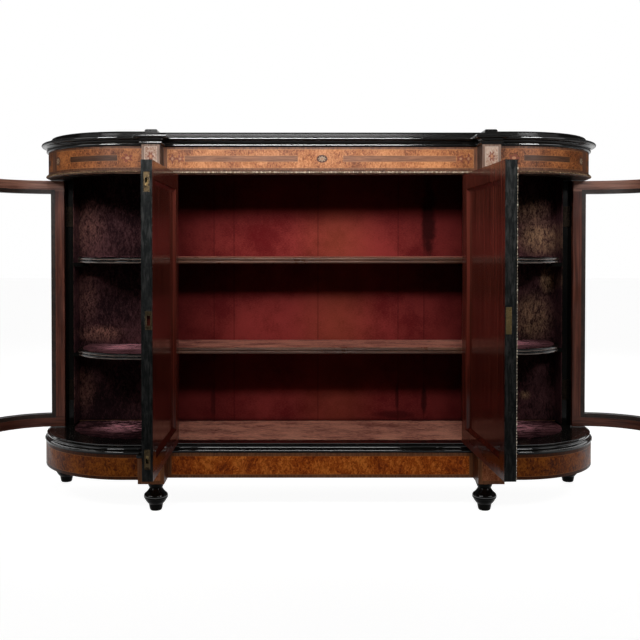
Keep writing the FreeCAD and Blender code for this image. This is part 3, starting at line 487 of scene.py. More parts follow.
plinth = {
    "level": 0.13175, "halfHeight": 0.02625, "endRadius": 0.286, "line": 0.0012, "lineShare": 1.0,
    "burrSize": 165.0, "speckle": 0.45, "shine": 0.1, "band": (tone(98, 58, 37), tone(140, 91, 60)),
    "string": tone(156, 98, 56), "return": tone(70, 33, 17), "shadedUnderside": None, "strips": [], "flowers": [],
    "center": {"burr": (tone(122, 50, 10), tone(180, 82, 21), tone(226, 130, 50)), "panels": [(0.0, 0.4235)]},
    "block": {
        "burr": (tone(92, 44, 26), tone(142, 78, 48), tone(182, 114, 78)),
        "panels": [(case["pilasterMiddle"], 0.026)],
    },
    # painted shade: the end tones are darker copies of the centre's, for the curved ends that get less light
    "end": {
        "band": (tone(54, 24, 7), tone(84, 41, 13)), "panels": [(0.2525, 0.2925)],
        "burr": (tone(66, 25, 4), tone(122, 57, 12), tone(168, 93, 27)),
    },
}


def addFlower(color, look, flower, across, up):
    kind, middle, width, height, petals = flower
    bloom = place(flowerGroup, {
        "Across": across, "Up": up, "Middle": middle, "Level": look["level"], "Width": width, "Height": height,
        "Petals": petals,
    })
    if kind == "oval":
        color = mix(bloom["Ground"], color, look["ovalGround"])
    eye = look["strip"][1] if kind == "oval" else look["sprayEye"]
    color = mix(times(bloom["Petals"], look["petalShare"]), color, look[f"{kind}Petals"])
    return mix(times(bloom["Eye"], look["eyeShare"]), color, eye)


def makeVeneer(name, trim, kind):
    mat, shader, spot = newFinish(name)
    look = {**trim, **trim[kind]}
    end = place(endGroup, {"Vector": spot, "Radius": look["endRadius"]})
    signed, up = split(spot)["X"], end["Height"]
    across = end["Run"] if kind == "end" else absolute(signed)
    burr = burred(spot, look["burrSize"], look["burr"], look["speckle"])
    color = grained(spot, veneer["bandStretch"], look["band"], veneer["pores"])["Color"]
    inlays = [(panel, burr["Color"], look["halfHeight"], look["line"]) for panel in look["panels"]]
    if look["strips"]:
        strip = grained(spot, veneer["stripStretch"], look["strip"], veneer["pores"])["Color"]
        inlays += [(panel, strip, look["stripHalf"], look["stripLine"]) for panel in look["strips"]]
    for (middle, half), inside, tall, line in inlays:
        ruled = place(panelGroup, {
            "Across": across, "Up": up, "Middle": middle, "Level": look["level"], "Half Width": half,
            "Half Height": tall, "Line": line,
        })
        color = mix(ruled["Inside"], color, inside)
        color = mix(times(ruled["Line"], look["lineShare"]), color, look["string"])
    for flower in look["flowers"]:
        single = kind == "center" and flower[0] == "oval"  # one in the middle, not one on either side
        color = addFlower(color, look, flower, signed if single else across, up)
    # painted shade: the block's side faces are painted dark
    if kind == "block":
        color = mix(times(place(facingGroup, {})["Side"], veneer["shadedReturnShare"]), color, look["return"])
    # painted shade: faces that look down are painted black
    if look["shadedUnderside"]:
        color = mix(place(facingGroup, {})["Under"], color, look["shadedUnderside"])
    rough = ramp(cloud(spot, *veneer["cloud"]), *veneer["rough"])  # old french polish with cloudy wear
    cover(shader, color, rough, burr["Height"], look["shine"])
    return mat


# doors: each hinge is its place and the turn that shuts the door

centerDoor = {
    "hinges": {"left_door": (-0.435, -0.129, 90.7), "right_door": (0.435, -0.129, -92.4)},
    "low": (tone(56, 18, 12), tone(100, 40, 29)), "high": (tone(66, 28, 22), tone(116, 56, 45)),
    "paintedShadeRise": (0.25, 0.95), "stretch": (150, 150, 3), "pores": 0.3, "outside": -0.112, "wear": 0.7, "dust": 0.1,
    "burrSize": 60.0, "speckle": 0.7, "edgeHalf": 0.0022, "edge": tone(26, 28, 28), "scuff": tone(58, 58, 57),
    "scuffStretch": (160, 160, 30), "scuffCloud": (1.0, 5, 0.7), "scuffs": (0.42, 0.68),
    "cloud": 18.0, "gloss": (0.3, 0.7, 0.1, 0.2), "foot": (0.17, 0.24, 0.4, 0), "blackRough": 0.12, "shine": 0.12,
}
endDoor = {
    "hinges": {"left_end_door": (-0.784, 0.1175, 93.0), "right_end_door": (0.784, 0.1175, -100.0)},
    "stile": (tone(66, 33, 24), tone(112, 64, 50)), "topRail": (tone(104, 66, 54), tone(160, 112, 93)),
    "stretch": (80, 80, 5), "pores": 0.5, "railStretch": (8, 8, 160), "railPores": 0.3,
    "lowRail": (0.226, 0.228, 1, 0), "highRail": (0.924, 0.926), "lip": 0.2135, "wear": 0.7, "dust": 0.2,
    "groove": tone(64, 25, 19), "grooves": (0.404, -0.0375), "grooveWide": (0.0008, 0.0022, 0.7, 0),
    "cloud": 18.0, "rough": (0.3, 0.7, 0.3, 0.45), "shine": 0.3,
}


def closedSpot(spot, hinge):
    # where a point of a door is when that door is shut
    return put("ShaderNodeVectorRotate", {
        "Vector": spot, "Center": (hinge[0], hinge[1], 0), "Angle": math.radians(hinge[2]),
    }, rotation_type="Z_AXIS").outputs[0]


def makeDoor(name, hinge, panel=False):
    # inside polished mahogany; outside black, with a burr panel; meeting edge scuffed black
    mat, shader, spot = newFinish(name)
    look = centerDoor
    shut = closedSpot(spot, hinge)
    x, y, z = split(shut)
    edge = below(absolute(x), look["edgeHalf"])
    front = below(y, look["outside"])
    # painted shade: the inside's tones darken towards the bottom
    paintedShadeRise = ramp(z, *look["paintedShadeRise"])
    tones = [mix(paintedShadeRise, low, high) for low, high in zip(look["low"], look["high"])]
    grain = grained(shut, look["stretch"], tones, look["pores"])
    if panel:
        # the frieze ends' burr tones, painted darker than the centre's as shade
        outside = burred(shut, look["burrSize"], frieze["end"]["burr"], look["speckle"])["Color"]
    else:
        outside = blackPolish(spot, look["wear"], look["dust"])[0]
    scuffs = cloud(stretched(shut, look["scuffStretch"]), *look["scuffCloud"])
    scuffed = mix(ramp(scuffs, *look["scuffs"]), look["edge"], look["scuff"])
    color = mix(front, grain["Color"], outside)
    color = mix(edge, color, scuffed)
    # glossy inside, but rubbed dull along the foot
    dull = plus(ramp(z, *look["foot"]), ramp(cloud(spot, look["cloud"]), *look["gloss"]))
    rough = scaleAdd(larger(edge, front), look["blackRough"], dull)
    cover(shader, color, rough, grain["Height"], look["shine"])
    return mat


def makeEndDoor(name, hinge):
    # curved door: black lip outside, brown inside, with a groove beside each stile
    mat, shader, spot = newFinish(name)
    look = endDoor
    shut = closedSpot(spot, hinge)
    end = place(endGroup, {"Vector": shut})
    lip = calc("GREATER_THAN", end["Reach"], look["lip"])
    grain = grained(shut, look["stretch"], look["stile"], look["pores"])
    black = blackPolish(spot, look["wear"], look["dust"])[0]
    color = grain["Color"]
    for at in look["grooves"]:
        color = mix(ramp(away(end["Run"], at), *look["grooveWide"]), color, look["groove"])
    # the top rail's paler tones are its own wood and partly a painted highlight
    for span, tones in (("lowRail", "stile"), ("highRail", "topRail")):
        rail = grained(shut, look["railStretch"], look[tones], look["railPores"])
        color = mix(ramp(end["Height"], *look[span]), color, rail["Color"])
    color = mix(lip, color, black)
    rough = ramp(cloud(spot, look["cloud"]), *look["rough"])
    cover(shader, color, rough, grain["Height"], look["shine"])
    return mat


# plain woods, metal and glass

wood = {"pores": 0.6, "cloud": 20.0, "worn": (0.3, 0.7), "rougher": 0.15, "shine": 0.35, "depth": (0.15, 0.0004)}
plainWoods = {
    "filletWood": {
        "tones": (tone(30, 21, 17), tone(54, 38, 30)), "on": ("left_end_door_fillets", "right_end_door_fillets"),
    },
    "caseMahogany": {
        "tones": (tone(40, 16, 11), tone(72, 32, 22)), "stretch": (60, 60, 4), "rough": 0.45,
        "on": ("partition_left", "partition_right"),
    },
    "rawPine": {
        "tones": (tone(92, 62, 40), tone(140, 100, 66)), "stretch": (50, 50, 3), "rough": 0.65,
        "on": ("back_boards", "plinth_back_rail", "plinth_corner_blocks"),
    },
    "shelfMahogany": {
        "tones": (tone(74, 45, 33), tone(122, 84, 65)), "stretch": (4, 60, 60), "rough": 0.26,
        "on": ("center_shelf_lower", "center_shelf_upper"),
    },
    "beadStripWood": {"tones": (tone(70, 46, 34), tone(112, 78, 58)), "on": ["frieze_bead"]},
}
brass = {
    "cloud": (120.0, 6, 0.7), "tarnish": (0.4, 0.66), "edge": 0.0012, "rubbed": tone(236, 212, 170),
    "rougher": 0.25, "pits": (400.0, 2), "shine": 0.5, "depth": (0.1, 0.0002),
}
metals = {
    "agedBrass": {
        "tones": (tone(198, 170, 118), tone(130, 108, 72)), "rough": 0.35, "rubbed": 0.5,
        "on": ("hinge_pins", "left_bolt_top", "left_bolt_bottom", "right_door_lock", "right_lock_bolt",
               "left_door_hinge_leaves", "right_door_hinge_leaves"),
    },
    "darkBrass": {
        "tones": (tone(116, 98, 72), tone(56, 47, 37)), "rough": 0.4, "rubbed": 1.0, "on": ["left_door_plates"],
    },
    "blackenedBrass": {
        "tones": (tone(38, 31, 25), tone(20, 17, 14)), "rough": 0.45,
        "on": ("hinge_jamb_leaves", "left_end_door_hinge_leaves", "right_end_door_hinge_leaves"),
    },
    "wornGilding": {"tones": (tone(238, 226, 204), tone(170, 148, 122)), "rough": 0.5},
    "dullGilding": {"tones": (tone(150, 124, 96), tone(96, 74, 56)), "rough": 0.55},
}
glass = {"ior": 1.04}  # thin old glass: hardly bends what is behind it


def makePlainWood(name, on, tones, stretch=(60, 60, 60), rough=0.4):
    mat, shader, spot = newFinish(name)
    grain = grained(spot, stretch, tones, wood["pores"])
    rough = ramp(cloud(spot, wood["cloud"]), *wood["worn"], rough, rough + wood["rougher"])
    cover(shader, grain["Color"], rough, grain["Height"], wood["shine"], wood["depth"])
    dress(mat, on)


def makeBrass(name, tones, rough, rubbed=0, on=()):
    mat, shader, spot = newFinish(name)
    tarnish = ramp(cloud(spot, *brass["cloud"]), *brass["tarnish"])
    color = mix(tarnish, *tones)
    if rubbed:
        edges = place(wearGroup, {"Vector": spot, "Width": brass["edge"], "Amount": rubbed})["Mask"]
        color = mix(edges, color, brass["rubbed"])
    rough = ramp(tarnish, 0.0, 1.0, rough, rough + brass["rougher"])
    cover(shader, color, rough, cloud(spot, *brass["pits"]), brass["shine"], brass["depth"], Metallic=1.0)
    dress(mat, on)
    return mat


def makeGlass(name):
    mat, shader, _ = newFinish(name)
    setShader(shader, Base_Color=(1, 1, 1, 1), Roughness=0.0, IOR=glass["ior"], Transmission_Weight=1.0)
    return mat


for name, look in blackFinishes.items():
    makeEbonised(name, **look)
dress(makeNosing("endShelfPolish"), ("end_shelves_left", "end_shelves_right"))
for part, kind in (("center", "center"), ("blocks", "block"), ("end_left", "end"), ("end_right", "end")):
    dress(makeVeneer(f"frieze_{part}_veneer", frieze, kind), [f"frieze_{part}"])
    dress(makeVeneer(f"plinth_{part}_veneer", plinth, kind), [f"plinth_{part}"])
for door, hinge in centerDoor["hinges"].items():
    dress(makeDoor(f"{door}_wood", hinge), [f"{door}_{part}" for part in ("stiles", "rails", "mouldings")])
    dress(makeDoor(f"{door}_panelWood", hinge, True), [f"{door}_panel"])
for door, hinge in endDoor["hinges"].items():
    dress(makeEndDoor(f"{door}_wood", hinge), [f"{door}_frame"])
    dress(makeGlass(f"{door}_clear"), [f"{door}_glass"])
for name, look in plainWoods.items():
    makePlainWood(name, **look)
gilding = {name: makeBrass(name, **look) for name, look in metals.items()}
print("case, doors and metal dressed")

# linings

redCloth = {
    "lit": tone(150, 43, 45), "deep": tone(108, 25, 28), "shade": tone(50, 12, 12), "worn": tone(240, 164, 136),
    "litGold": tone(166, 92, 56), "stain": tone(24, 9, 8), "threads": 2600.0, "weaveShare": 0.25,
    "patch": (9.0, 6, 0.65), "laidPatch": (1, 1.5, 1), "slub": (1.0, 4, 0.6), "shares": (0.4, 0.6),
    "hungSlub": (160, 160, 420), "laidSlub": (90, 260, 260), "lift": (0.38, 0.62), "wear": (0.32, 0.58),
    "rough": 0.95, "shine": 0.05, "sheen": 0.04, "sheenRough": 0.5, "depth": (0.25, 0.0004),
}
# a painted shadow band, below the frieze and each shelf, is its lower end, upper end, cut-off and share; a stain
# its place, half sizes and share
wallAge = {
    "litMiddleX": 0.06, "litMiddle": (0.0, 0.17, 0.28, 0), "shadedSides": (0.16, 0.46, 0, 0.6), "foot": (0.22, 0.5, 0.32, 0),
    "shadowBands": [(0.755, 0.875, 1.1, 0.6), (0.5, 0.64, 0.71, 0.55), (0.24, 0.36, 0.44, 0.5)],
    "seams": (-0.331, -0.267, 0.002, 0.259, 0.342), "seam": (0.0008, 0.003, 0.42, 0),
    "ragged": (30.0, 5, 0.7), "raggedSpan": (1.2, -0.6), "stainRim": (0.5, 1.1),
    "stains": [((0.357, 0.84), (0.026, 0.14), 0.95), ((0.25, 0.214), (0.075, 0.014), 0.6),
               ((0.343, 0.26), (0.01, 0.06), 0.8), ((0.256, 0.27), (0.007, 0.05), 0.7),
               ((-0.335, 0.25), (0.009, 0.06), 0.6)],
}
laidAge = {
    "turn": 0.5, "stretch": (6, 44, 1), "folds": (1.0, 2, 0.5), "foldMiddle": 0.5,
    "creaseShade": (0.002, 0.02, 0.18, 0), "dirt": (13.0, 5, 0.7), "dirty": (0.58, 0.74, 0, 0.55),
}


def ageWall(spot, color):
    # painted light in the middle, painted shade at the sides, below the frieze and shelves and towards the foot;
    # sunk seams, and stains that ran down
    age, shade = wallAge, redCloth["shade"]
    x, _, z = split(spot)
    # painted light: a paler gold pool in the middle of the back cloth
    color = mix(ramp(away(x, age["litMiddleX"]), *age["litMiddle"]), color, redCloth["litGold"])
    # painted shade: the cloth darkens towards both sides
    color = mix(ramp(absolute(x), *age["shadedSides"]), color, shade)
    # painted shadow: darker towards the top of each bay, under the frieze and each shelf
    for low, high, top, share in age["shadowBands"]:
        color = mix(times(ramp(z, low, high, 0, share), below(z, top)), color, shade)
    # painted shade: darker towards the bottom of the cloth
    color = mix(ramp(z, *age["foot"]), color, shade)
    for at in age["seams"]:
        color = mix(ramp(away(x, at), *age["seam"]), color, shade)
    ragged = scaleAdd(cloud(spot, *age["ragged"]), *age["raggedSpan"])
    for middle, size, share in age["stains"]:
        _, _, far = ovalSpot((x, z), middle, size)
        rim = ramp(plus(far, ragged), *age["stainRim"], share, 0)
        color = mix(rim, color, redCloth["stain"])
    return color


def ageLaid(spot, color):
    # slanting creases painted as shade lines, and dirty patches
    age, shade = laidAge, redCloth["shade"]
    slant = put("ShaderNodeVectorRotate", {"Vector": spot, "Angle": age["turn"]}, rotation_type="Z_AXIS")
    folds = cloud(stretched(slant.outputs[0], age["stretch"]), *age["folds"])
    # painted shade along the creases
    color = mix(ramp(away(folds, age["foldMiddle"]), *age["creaseShade"]), color, shade)
    return mix(ramp(cloud(spot, *age["dirt"]), *age["dirty"]), color, shade)


def makeCloth(name, wornShare, hung):
    mat, shader, spot = newFinish(name)
    look = redCloth
    weave = place(weaveGroup, {"Vector": spot, "Threads": look["threads"]})
    patchy = cloud(spot if hung else stretched(spot, look["laidPatch"]), *look["patch"])
    slub = cloud(stretched(spot, look["hungSlub" if hung else "laidSlub"]), *look["slub"])
    mixed = weigh(slub, patchy, look["shares"])
    color = mix(ramp(mixed, *look["lift"]), look["deep"], look["lit"])
    color = mix(times(ramp(mixed, *look["wear"]), wornShare), color, look["worn"])
    color = (ageWall if hung else ageLaid)(spot, color)
    color = mix(times(weave["Mask"], look["weaveShare"]), color, look["deep"])
    cover(shader, color, look["rough"], weave["Height"], look["shine"], look["depth"],
          Sheen_Weight=look["sheen"], Sheen_Roughness=look["sheenRough"])
    return mat


velvet = {
    "wall": (tone(32, 17, 20), tone(92, 58, 60)), "mat": (tone(20, 3, 6), tone(86, 48, 50)),
    "wallStreak": (120, 120, 44), "matStreak": (26, 85, 85), "wallSheen": 0.08, "matSheen": 0.03,
    "leftBald": tone(172, 118, 102), "rightBald": tone(192, 152, 112), "glint": tone(255, 174, 186),
    "swirl": (30.0, 4.0, (0.03, 0.03, 0.03)), "crush": (7, 0.72, 0.3), "fineStretch": (500, 500, 150),
    "fine": (1.0, 3, 0.7), "broad": (6.0, 3, 0.5), "broadShare": 0.4, "layShares": (0.35, 0.5),
    "lay": (0.54, 0.76), "fleckShares": (0.4, 0.6), "flecks": (0.4, 0.66), "baldReach": (0.2, 1.0),
    "glintShares": (0.3, 0.7), "glints": (0.485, 0.56), "glintY": (-0.01, 0.07, 0.13, 1.0),
    "glintX": (0.61, 0.71, 1, 0.13), "tint": tone(220, 150, 170), "rough": 0.85, "shine": 0.05,
    "sheenRough": 0.35, "depth": (0.8, 0.004),
}


def makeVelvet(name, kind, patches=(), bald=None):
    # crushed pile: strokes lie different ways, so they catch or lose the light; on the mats the glints are
    # painted highlight placed towards the back and inner side
    mat, shader, spot = newFinish(name)
    look = velvet
    x, y, z = split(spot)
    moved = stretched(swirled(spot, *look["swirl"]), look[f"{kind}Streak"])
    crush = cloud(moved, 1.0, *look["crush"])
    fine = cloud(stretched(spot, look["fineStretch"]), *look["fine"])
    broad = cloud(spot, *look["broad"])
    lay = scaleAdd(broad, look["broadShare"], weigh(fine, crush, look["layShares"]))
    color = mix(ramp(lay, *look["lay"]), *look[kind])
    if kind == "wall":
        flecks = ramp(weigh(fine, crush, look["fleckShares"]), *look["flecks"])
    else:
        # painted highlight: glint colour in the base colour, strongest towards the back and the inner side of
        # each mat
        glint = ramp(weigh(broad, crush, look["glintShares"]), *look["glints"])
        lit = times(ramp(y, *look["glintY"]), ramp(absolute(x), *look["glintX"]))
        color = mix(times(glint, lit), color, look["glint"])
    for middle, size, share in patches:
        _, _, far = ovalSpot((x, z), middle, size)
        color = mix(times(flecks, ramp(far, *look["baldReach"], share, 0)), color, bald)
    cover(shader, color, look["rough"], crush, look["shine"], look["depth"], Sheen_Weight=look[f"{kind}Sheen"],
          Sheen_Roughness=look["sheenRough"], Sheen_Tint=look["tint"])
    return mat


def addPiece(name, mat, verts, faces, body):
    mesh = bpy.data.meshes.new(name)
    mesh.from_pydata(verts, [], faces)
    mesh.materials.append(mat)
    for poly in mesh.polygons:
        poly.use_smooth = True
    piece = bpy.data.objects.new(name, mesh)
    bpy.context.scene.collection.objects.link(piece)
    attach(piece, body)
    return piece


def clothPiece(name, mat, face, back, grid):
    # a closed thin sheet: a shaped face over a flat back, each a function of two shares
    nu, nv = grid
    verts = [side(i / nu, j / nv) for side in (face, back) for j in range(nv + 1) for i in range(nu + 1)]
    count = len(verts) // 2
    faces = []
    for j in range(nv):
        for i in range(nu):
            a = j * (nu + 1) + i
            quad = (a, a + 1, a + nu + 2, a + nu + 1)
            faces += [quad, tuple(count + k for k in reversed(quad))]
    rim = list(range(nu + 1)) + [j * (nu + 1) + nu for j in range(1, nv + 1)]
    rim += [nv * (nu + 1) + i for i in range(nu - 1, -1, -1)] + [j * (nu + 1) for j in range(nv - 1, 0, -1)]
    for a, b in zip(rim, rim[1:] + rim[:1]):
        faces.append((b, a, count + a, count + b))
    return addPiece(name, mat, verts, faces, "carcass")


def ripple(x, y, z, size, amount):
    # a fixed number in place of a coordinate picks another slice of the noise
    return noise.noise(Vector((x, y, z)) * size) * amount


def between(low, high, share):
    return low + (high - low) * share


backSheet = {
    "half": 0.4645, "low": 0.1935, "high": 1.0345, "y": 0.1889, "flat": (0.929, 0.841), "worn": 0.06,
    "thick": 0.0009, "seamWide": 0.0028, "seamDeep": 0.0007, "slow": (9, 0.0004), "fine": (40, 0.0001),
    "fineDrawn": 0.3, "grid": (260, 60),
}


def buildBackCloth():
    p = backSheet

    def rear(s, t):
        return (p["half"] * (2 * s - 1), p["y"], between(p["low"], p["high"], t))

    def face(s, t):
        x, y, z = rear(s, t)
        seam = sum(math.exp(-((x - at) / p["seamWide"]) ** 2) for at in wallAge["seams"])
        y += ripple(x, 0, z, *p["slow"]) + ripple(x, 3, z * p["fineDrawn"], *p["fine"])
        return (x, y - p["thick"] - p["seamDeep"] * seam, z)

    mat = makeCloth("redBackCloth", p["worn"], True)
    piece = clothPiece("backCloth", mat, face, rear, p["grid"])
    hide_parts("back_cloth")


laidSheets = {
    "half": 0.464, "rear": 0.1868, "thick": 0.0011, "slow": (14, 0.0004), "fine": (60, 0.0002), "grid": (180, 60),
    "cloths": {
        "floorCloth": {"low": 0.1931, "front": -0.0915, "worn": 1.0, "on": "bottom_board"},
        "lowerShelfCloth": {"low": 0.4536, "front": -0.0245, "worn": 0.8, "on": "center_shelf_lower"},
        "upperShelfCloth": {"low": 0.7216, "front": -0.0245, "worn": 0.6, "on": "center_shelf_upper"},
    },
}


def buildLaidCloth(name):
    p = laidSheets
    cloth = p["cloths"][name]

    def under(s, t):
        return (p["half"] * (2 * s - 1), between(cloth["front"], p["rear"], t), cloth["low"])

    def face(s, t):
        x, y, z = under(s, t)
        return (x, y, z + p["thick"] + ripple(x, y, z, *p["slow"]) + ripple(x, y, 5, *p["fine"]))

    mat = makeCloth(f"{name}Red", cloth["worn"], False)
    piece = clothPiece(name, mat, face, under, p["grid"])
    return piece


# a bald patch is its place, half sizes and share
velvetWalls = {
    "near": 0.488, "postIn": 0.7652, "low": 0.1965, "high": 1.0345, "y": 0.1889, "thick": 0.0014,
    "slow": (22, 0.0011), "fine": (70, 0.0005), "grid": (90, 200),
    "bald": [((-0.75, 0.3), (0.05, 0.09), 0.7), ((-0.74, 0.82), (0.08, 0.14), 0.4),
             ((-0.7, 0.475), (0.1, 0.035), 0.9), ((-0.74, 0.6), (0.05, 0.12), 0.4),
             ((0.668, 0.277), (0.022, 0.02), 0.9), ((0.72, 0.78), (0.1, 0.07), 0.8),
             ((0.74, 0.65), (0.035, 0.06), 0.9), ((0.69, 0.53), (0.09, 0.1), 0.5),
             ((0.68, 0.87), (0.09, 0.06), 0.4)],
}
velvetPosts = {
    "front": 0.1195, "rear": 0.1859, "thick": 0.002, "clear": 0.0002, "fine": (60, 0.0004), "grid": (24, 200),
}
velvetMats = {
    "rear": 0.1853, "thick": 0.0018, "crowd": 0.9, "slow": (24, 0.001), "fine": (80, 0.0004), "grid": (110, 110),
    "floor": {"radius": 0.2008, "left": 0.1931, "right": 0.1931},
    "lower": {"radius": 0.1755, "left": 0.4396, "right": 0.4536},
    "upper": {"radius": 0.1755, "left": 0.7216, "right": 0.7216},
}


def buildBackVelvet(side, hand, mat):
    p = velvetWalls

    def rear(s, t):
        x = between(p["near"], p["postIn"], s if side > 0 else 1 - s)
        return (x * side, p["y"], between(p["low"], p["high"], t))

    def face(s, t):
        x, y, z = rear(s, t)
        y += ripple(x, 0, z, *p["slow"]) + ripple(abs(x), 7 * side, z, *p["fine"])
        return (x, y - p["thick"], z)

    piece = clothPiece(f"{hand}BackVelvet", mat, face, rear, p["grid"])
    return piece


def buildSideVelvet(side, hand, mat):
    # the wall's velvet turns forward along the rear post
    p, wall = velvetPosts, velvetWalls

    def outer(s, t):
        y = between(p["front"], p["rear"], s if side < 0 else 1 - s)
        return ((wall["postIn"] - p["clear"]) * side, y, between(wall["low"], wall["high"], t))

    def inner(s, t):
        _, y, z = outer(s, t)
        return ((wall["postIn"] - p["thick"] - ripple(y, side, z, *p["fine"])) * side, y, z)

    piece = clothPiece(f"{hand}SideVelvet", mat, inner, outer, p["grid"])


def buildMat(side, hand, name, mat):
    p = velvetMats
    radius, level = p[name]["radius"], p[name][hand]
    near, far = velvetWalls["near"], case["arcX"] + radius

    def under(s, t):
        # columns crowd towards the tip, where the front curves most
        s = s if side > 0 else 1 - s
        x = between(near, far, math.sin(s * math.pi / 2) ** p["crowd"])
        inside = max(0.0, x - case["arcX"])
        front = case["arcY"] - math.sqrt(max(0.0, radius ** 2 - inside ** 2))
        return (x * side, between(front, p["rear"], t), level)

    def top(s, t):
        x, y, z = under(s, t)
        return (x, y, z + p["thick"] + ripple(x, y, z, *p["slow"]) + ripple(x, y, z * 9, *p["fine"]))

    piece = clothPiece(f"{hand}{name.capitalize()}Velvet", mat, top, under, p["grid"])
    return piece


def buildVelvet():
    pile = makeVelvet("velvetFlat", "mat")
    for side, hand in ((-1, "left"), (1, "right")):
        patches = [patch for patch in velvetWalls["bald"] if patch[0][0] * side > 0]
        wall = makeVelvet(f"{hand}VelvetWall", "wall", patches, velvet[f"{hand}Bald"])
        back = buildBackVelvet(side, hand, wall)
        buildSideVelvet(side, hand, wall)
        mats = [buildMat(side, hand, name, pile) for name in ("floor", "lower", "upper")]
        if hand == "left":
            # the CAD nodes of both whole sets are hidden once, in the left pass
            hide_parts("velvet_backs")
            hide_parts("velvet_mats")


buildBackCloth()
cloths = [buildLaidCloth(name) for name in laidSheets["cloths"]]
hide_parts("center_cloths")
buildVelvet()
print("cloth and velvet laid")

# gilt beads

beads = {
    "rings": 6, "turns": 10, "seed": 7, "worn": (0.7, 1.0), "reelWorn": (0.65, 0.9), "reelOff": 0.09,
    "reelLong": 0.08,
    "frieze": {
        "radius": 0.0032, "long": 0.0044, "pitch": 0.0124, "height": 0.9634, "out": 0.0055, "endOut": 0.0045,
        "centerHalf": 0.437, "endStart": 0.506, "rear": 0.214,
    },
    "door": {"radius": 0.0027, "long": 0.0046, "pitch": 0.0144, "out": 0.0006},
}


def addBall(verts, faces, center, along, radius, reach):
    rings, turns = beads["rings"], beads["turns"]
    across = along.cross(Vector((0, 0, 1))) if abs(along.z) < 0.9 else Vector((1, 0, 0))
    other = along.cross(across)
    base = len(verts)
    verts.append(center - along * reach)
    for r in range(1, rings):
        tilt = math.pi * r / rings
        for k in range(turns):
            turn = 2 * math.pi * k / turns
            spoke = across * math.cos(turn) + other * math.sin(turn)
            verts.append(center - along * reach * math.cos(tilt) + spoke * radius * math.sin(tilt))
    verts.append(center + along * reach)
    last = len(verts) - 1
    for k in range(turns):
        n = (k + 1) % turns
        faces.append((base, base + 1 + n, base + 1 + k))
        for r in range(rings - 2):
            a = base + 1 + r * turns
            faces.append((a + k, a + n, a + turns + n, a + turns + k))
        a = base + 1 + (rings - 2) * turns
        faces.append((a + k, a + n, last))


def beadString(name, centers, mat, p, body):
    # long beads with two reels between them, all one mesh; a center comes with the way the string runs
    verts, faces = [], []
    wear = random.Random(beads["seed"])
    for center, along in centers:
        left = wear.uniform(*beads["worn"])
        addBall(verts, faces, center, along, p["radius"] * left, p["long"] * left)
        for step in (-beads["reelOff"], beads["reelOff"]):
            reel = center + along * p["pitch"] * (0.5 + step)
            addBall(verts, faces, reel, along, p["radius"] * wear.uniform(*beads["reelWorn"]),
                    p["pitch"] * beads["reelLong"])
    addPiece(name, mat, verts, faces, body)


def straightRun(p, start, stop):
    start, stop = Vector((*start, p["height"])), Vector((*stop, p["height"]))
    along = (stop - start).normalized()
    count = int((stop - start).length / p["pitch"])
    slack = ((stop - start).length - (count - 1) * p["pitch"]) / 2
    return [(start + along * (slack + p["pitch"] * k), along) for k in range(count)]


def endRun(p):
    # along the strip under the frieze, round both ends to the back
    spots = []
    reach = case["endRadius"] + p["endOut"]
    face = case["endFace"] - p["endOut"]
    for side in (-1, 1):
        spots += straightRun(p, (p["endStart"] * side, face), (case["arcX"] * side, face))
        count = int(reach * math.pi / 2 / p["pitch"])
        for k in range(count):
            turn = (k + 0.5) / count * math.pi / 2
            x, y = case["arcX"] + reach * math.sin(turn), case["arcY"] - reach * math.cos(turn)
            spots.append((Vector((x * side, y, p["height"])), Vector((math.cos(turn) * side, math.sin(turn), 0))))
        x = (case["arcX"] + reach) * side
        spots += straightRun(p, (x, case["arcY"]), (x, p["rear"]))
    return spots


def buildBeads():
    p = beads["frieze"]
    face, block = case["centerFace"] - p["out"], case["pilasterFace"] - p["out"]
    front = straightRun(p, (-p["centerHalf"], face), (p["centerHalf"], face))
    for side in (-1, 1):
        front += straightRun(p, (case["pilasterIn"] * side, block), (case["pilasterOut"] * side, block))
    beadString("friezeBeads", front, gilding["wornGilding"], p, "carcass")
    beadString("endBeads", endRun(p), gilding["dullGilding"], p, "carcass")
    p = beads["door"]
    low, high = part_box("right_door_bead")
    x, y = (low.x + high.x) / 2 + p["out"], (low.y + high.y) / 2
    count = int((high.z - low.z) / p["pitch"])
    centers = [(Vector((x, y, low.z + p["pitch"] * (k + 0.5))), Vector((0, 0, 1))) for k in range(count)]
    beadString("doorBeads", centers, gilding["wornGilding"], p, "right_door")


buildBeads()
print("gilt beads strung")

# floor, light and camera

studio = {
    "ambient": 0.045, "sheetY": (0.88, 0.96), "sheetZ": (0.2, 0.45, 1, 0), "floor": (0.4, 0.4, 0.39, 1),
    "floorHalf": 20, "floorRough": 0.9, "floorShine": 0.1, "floorLift": 0.95, "floorSheet": (-1.2, -0.9),
    "spread": 100,
}
# a lamp is its place, what it points at, its size and its power
lamps = {
    "keyBox": ((-0.12, -1.35, 1.36), (0, 0, 1.05), (1.1, 0.18), 6.0),
    "keyLeft": ((-1.2, -1.25, 1.36), (-0.6, 0, 1.0), (0.5, 0.18), 1.9),
    "keyRight": ((1.2, -1.25, 1.36), (0.6, 0, 1.0), (0.5, 0.18), 2.3),
    "leftBox": ((-3.0, -1.6, 1.8), (0, 0, 0.6), (1.4, 1.4), 5.0),
    "rightBox": ((3.0, -1.6, 1.8), (0, 0, 0.6), (1.4, 1.4), 5.0),
    "backBox": ((0.6, 3.0, 2.4), (0, 0, 0.6), (2.4, 1.6), 30.0),
}


def whiteLook(sheet):
    # white to the camera and through glass, and in gloss where the white sheet is; plain light elsewhere
    path = put("ShaderNodeLightPath").outputs
    seen = larger(path["Is Camera Ray"], path["Is Transmission Ray"])
    return larger(seen, times(path["Is Glossy Ray"], sheet))


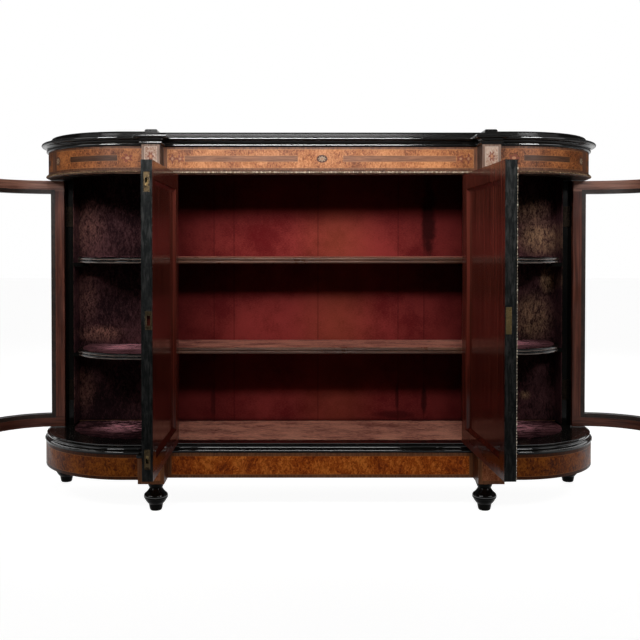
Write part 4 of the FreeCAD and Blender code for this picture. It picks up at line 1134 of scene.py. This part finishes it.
def buildBackdrop():
    world = bpy.data.worlds.new("studio")
    bpy.context.scene.world = world
    world.use_nodes = True
    current["tree"] = world.node_tree
    _, y, z = split(put("ShaderNodeTexCoord").outputs["Generated"])
    sheet = times(ramp(y, *studio["sheetY"]), ramp(z, *studio["sheetZ"]))
    strength = scaleAdd(whiteLook(sheet), 1.0 - studio["ambient"], studio["ambient"])
    sky = world.node_tree.nodes["Background"].inputs
    feed(sky["Color"], (1, 1, 1, 1))
    feed(sky["Strength"], strength)


def buildFloor():
    half = studio["floorHalf"]
    mesh = bpy.data.meshes.new("floor")
    mesh.from_pydata([(-half, -half, 0), (half, -half, 0), (half, half, 0), (-half, half, 0)], [], [(0, 1, 2, 3)])
    floor = bpy.data.objects.new("floor", mesh)
    bpy.context.scene.collection.objects.link(floor)
    mat, shader, spot = newFinish("paleFloor")
    setShader(shader, Base_Color=studio["floor"], Roughness=studio["floorRough"],
              Specular_IOR_Level=studio["floorShine"], Emission_Color=(1, 1, 1, 1))
    sheet = ramp(split(spot)["Y"], *studio["floorSheet"])
    feed(shader.inputs["Emission Strength"], times(whiteLook(sheet), studio["floorLift"]))
    mesh.materials.append(mat)


def buildLamps():
    for name, (at, aim, size, power) in lamps.items():
        lamp = bpy.data.lights.new(name, "AREA")
        lamp.shape = "RECTANGLE"
        lamp.size, lamp.size_y = size
        lamp.energy = power
        if name.startswith("key"):
            lamp.spread = math.radians(studio["spread"])  # falls off towards the plinth
        thing = bpy.data.objects.new(name, lamp)
        thing.location = at
        thing.rotation_euler = (Vector(aim) - Vector(at)).to_track_quat("-Z", "Y").to_euler()
        thing.visible_camera = False
        thing.visible_glossy = name != "backBox"  # lights the back without a patch on the polish
        bpy.context.scene.collection.objects.link(thing)


view = {
    "at": (-0.077, -2.648, 0.746), "pitch": 1.0, "focal": 884.3, "middle": (293.3, 264.5), "frame": 640,
    "sensor": 36,
}


def buildCamera():
    # focal length and middle are in pixels; the photograph is off centre, so the lens is shifted
    lens = bpy.data.cameras.new("camera")
    lens.sensor_fit = "HORIZONTAL"
    lens.sensor_width = view["sensor"]
    lens.lens = view["sensor"] * view["focal"] / view["frame"]
    lens.shift_x = (view["frame"] / 2 - view["middle"][0]) / view["frame"]
    lens.shift_y = (view["middle"][1] - view["frame"] / 2) / view["frame"]
    camera = bpy.data.objects.new("camera", lens)
    camera.location = view["at"]
    camera.rotation_euler = (math.radians(90 - view["pitch"]), 0, 0)
    bpy.context.scene.collection.objects.link(camera)
    bpy.context.scene.camera = camera
    bpy.context.scene.view_settings.view_transform = "Standard"


buildBackdrop()
buildFloor()
buildLamps()
buildCamera()
print("studio and camera set")
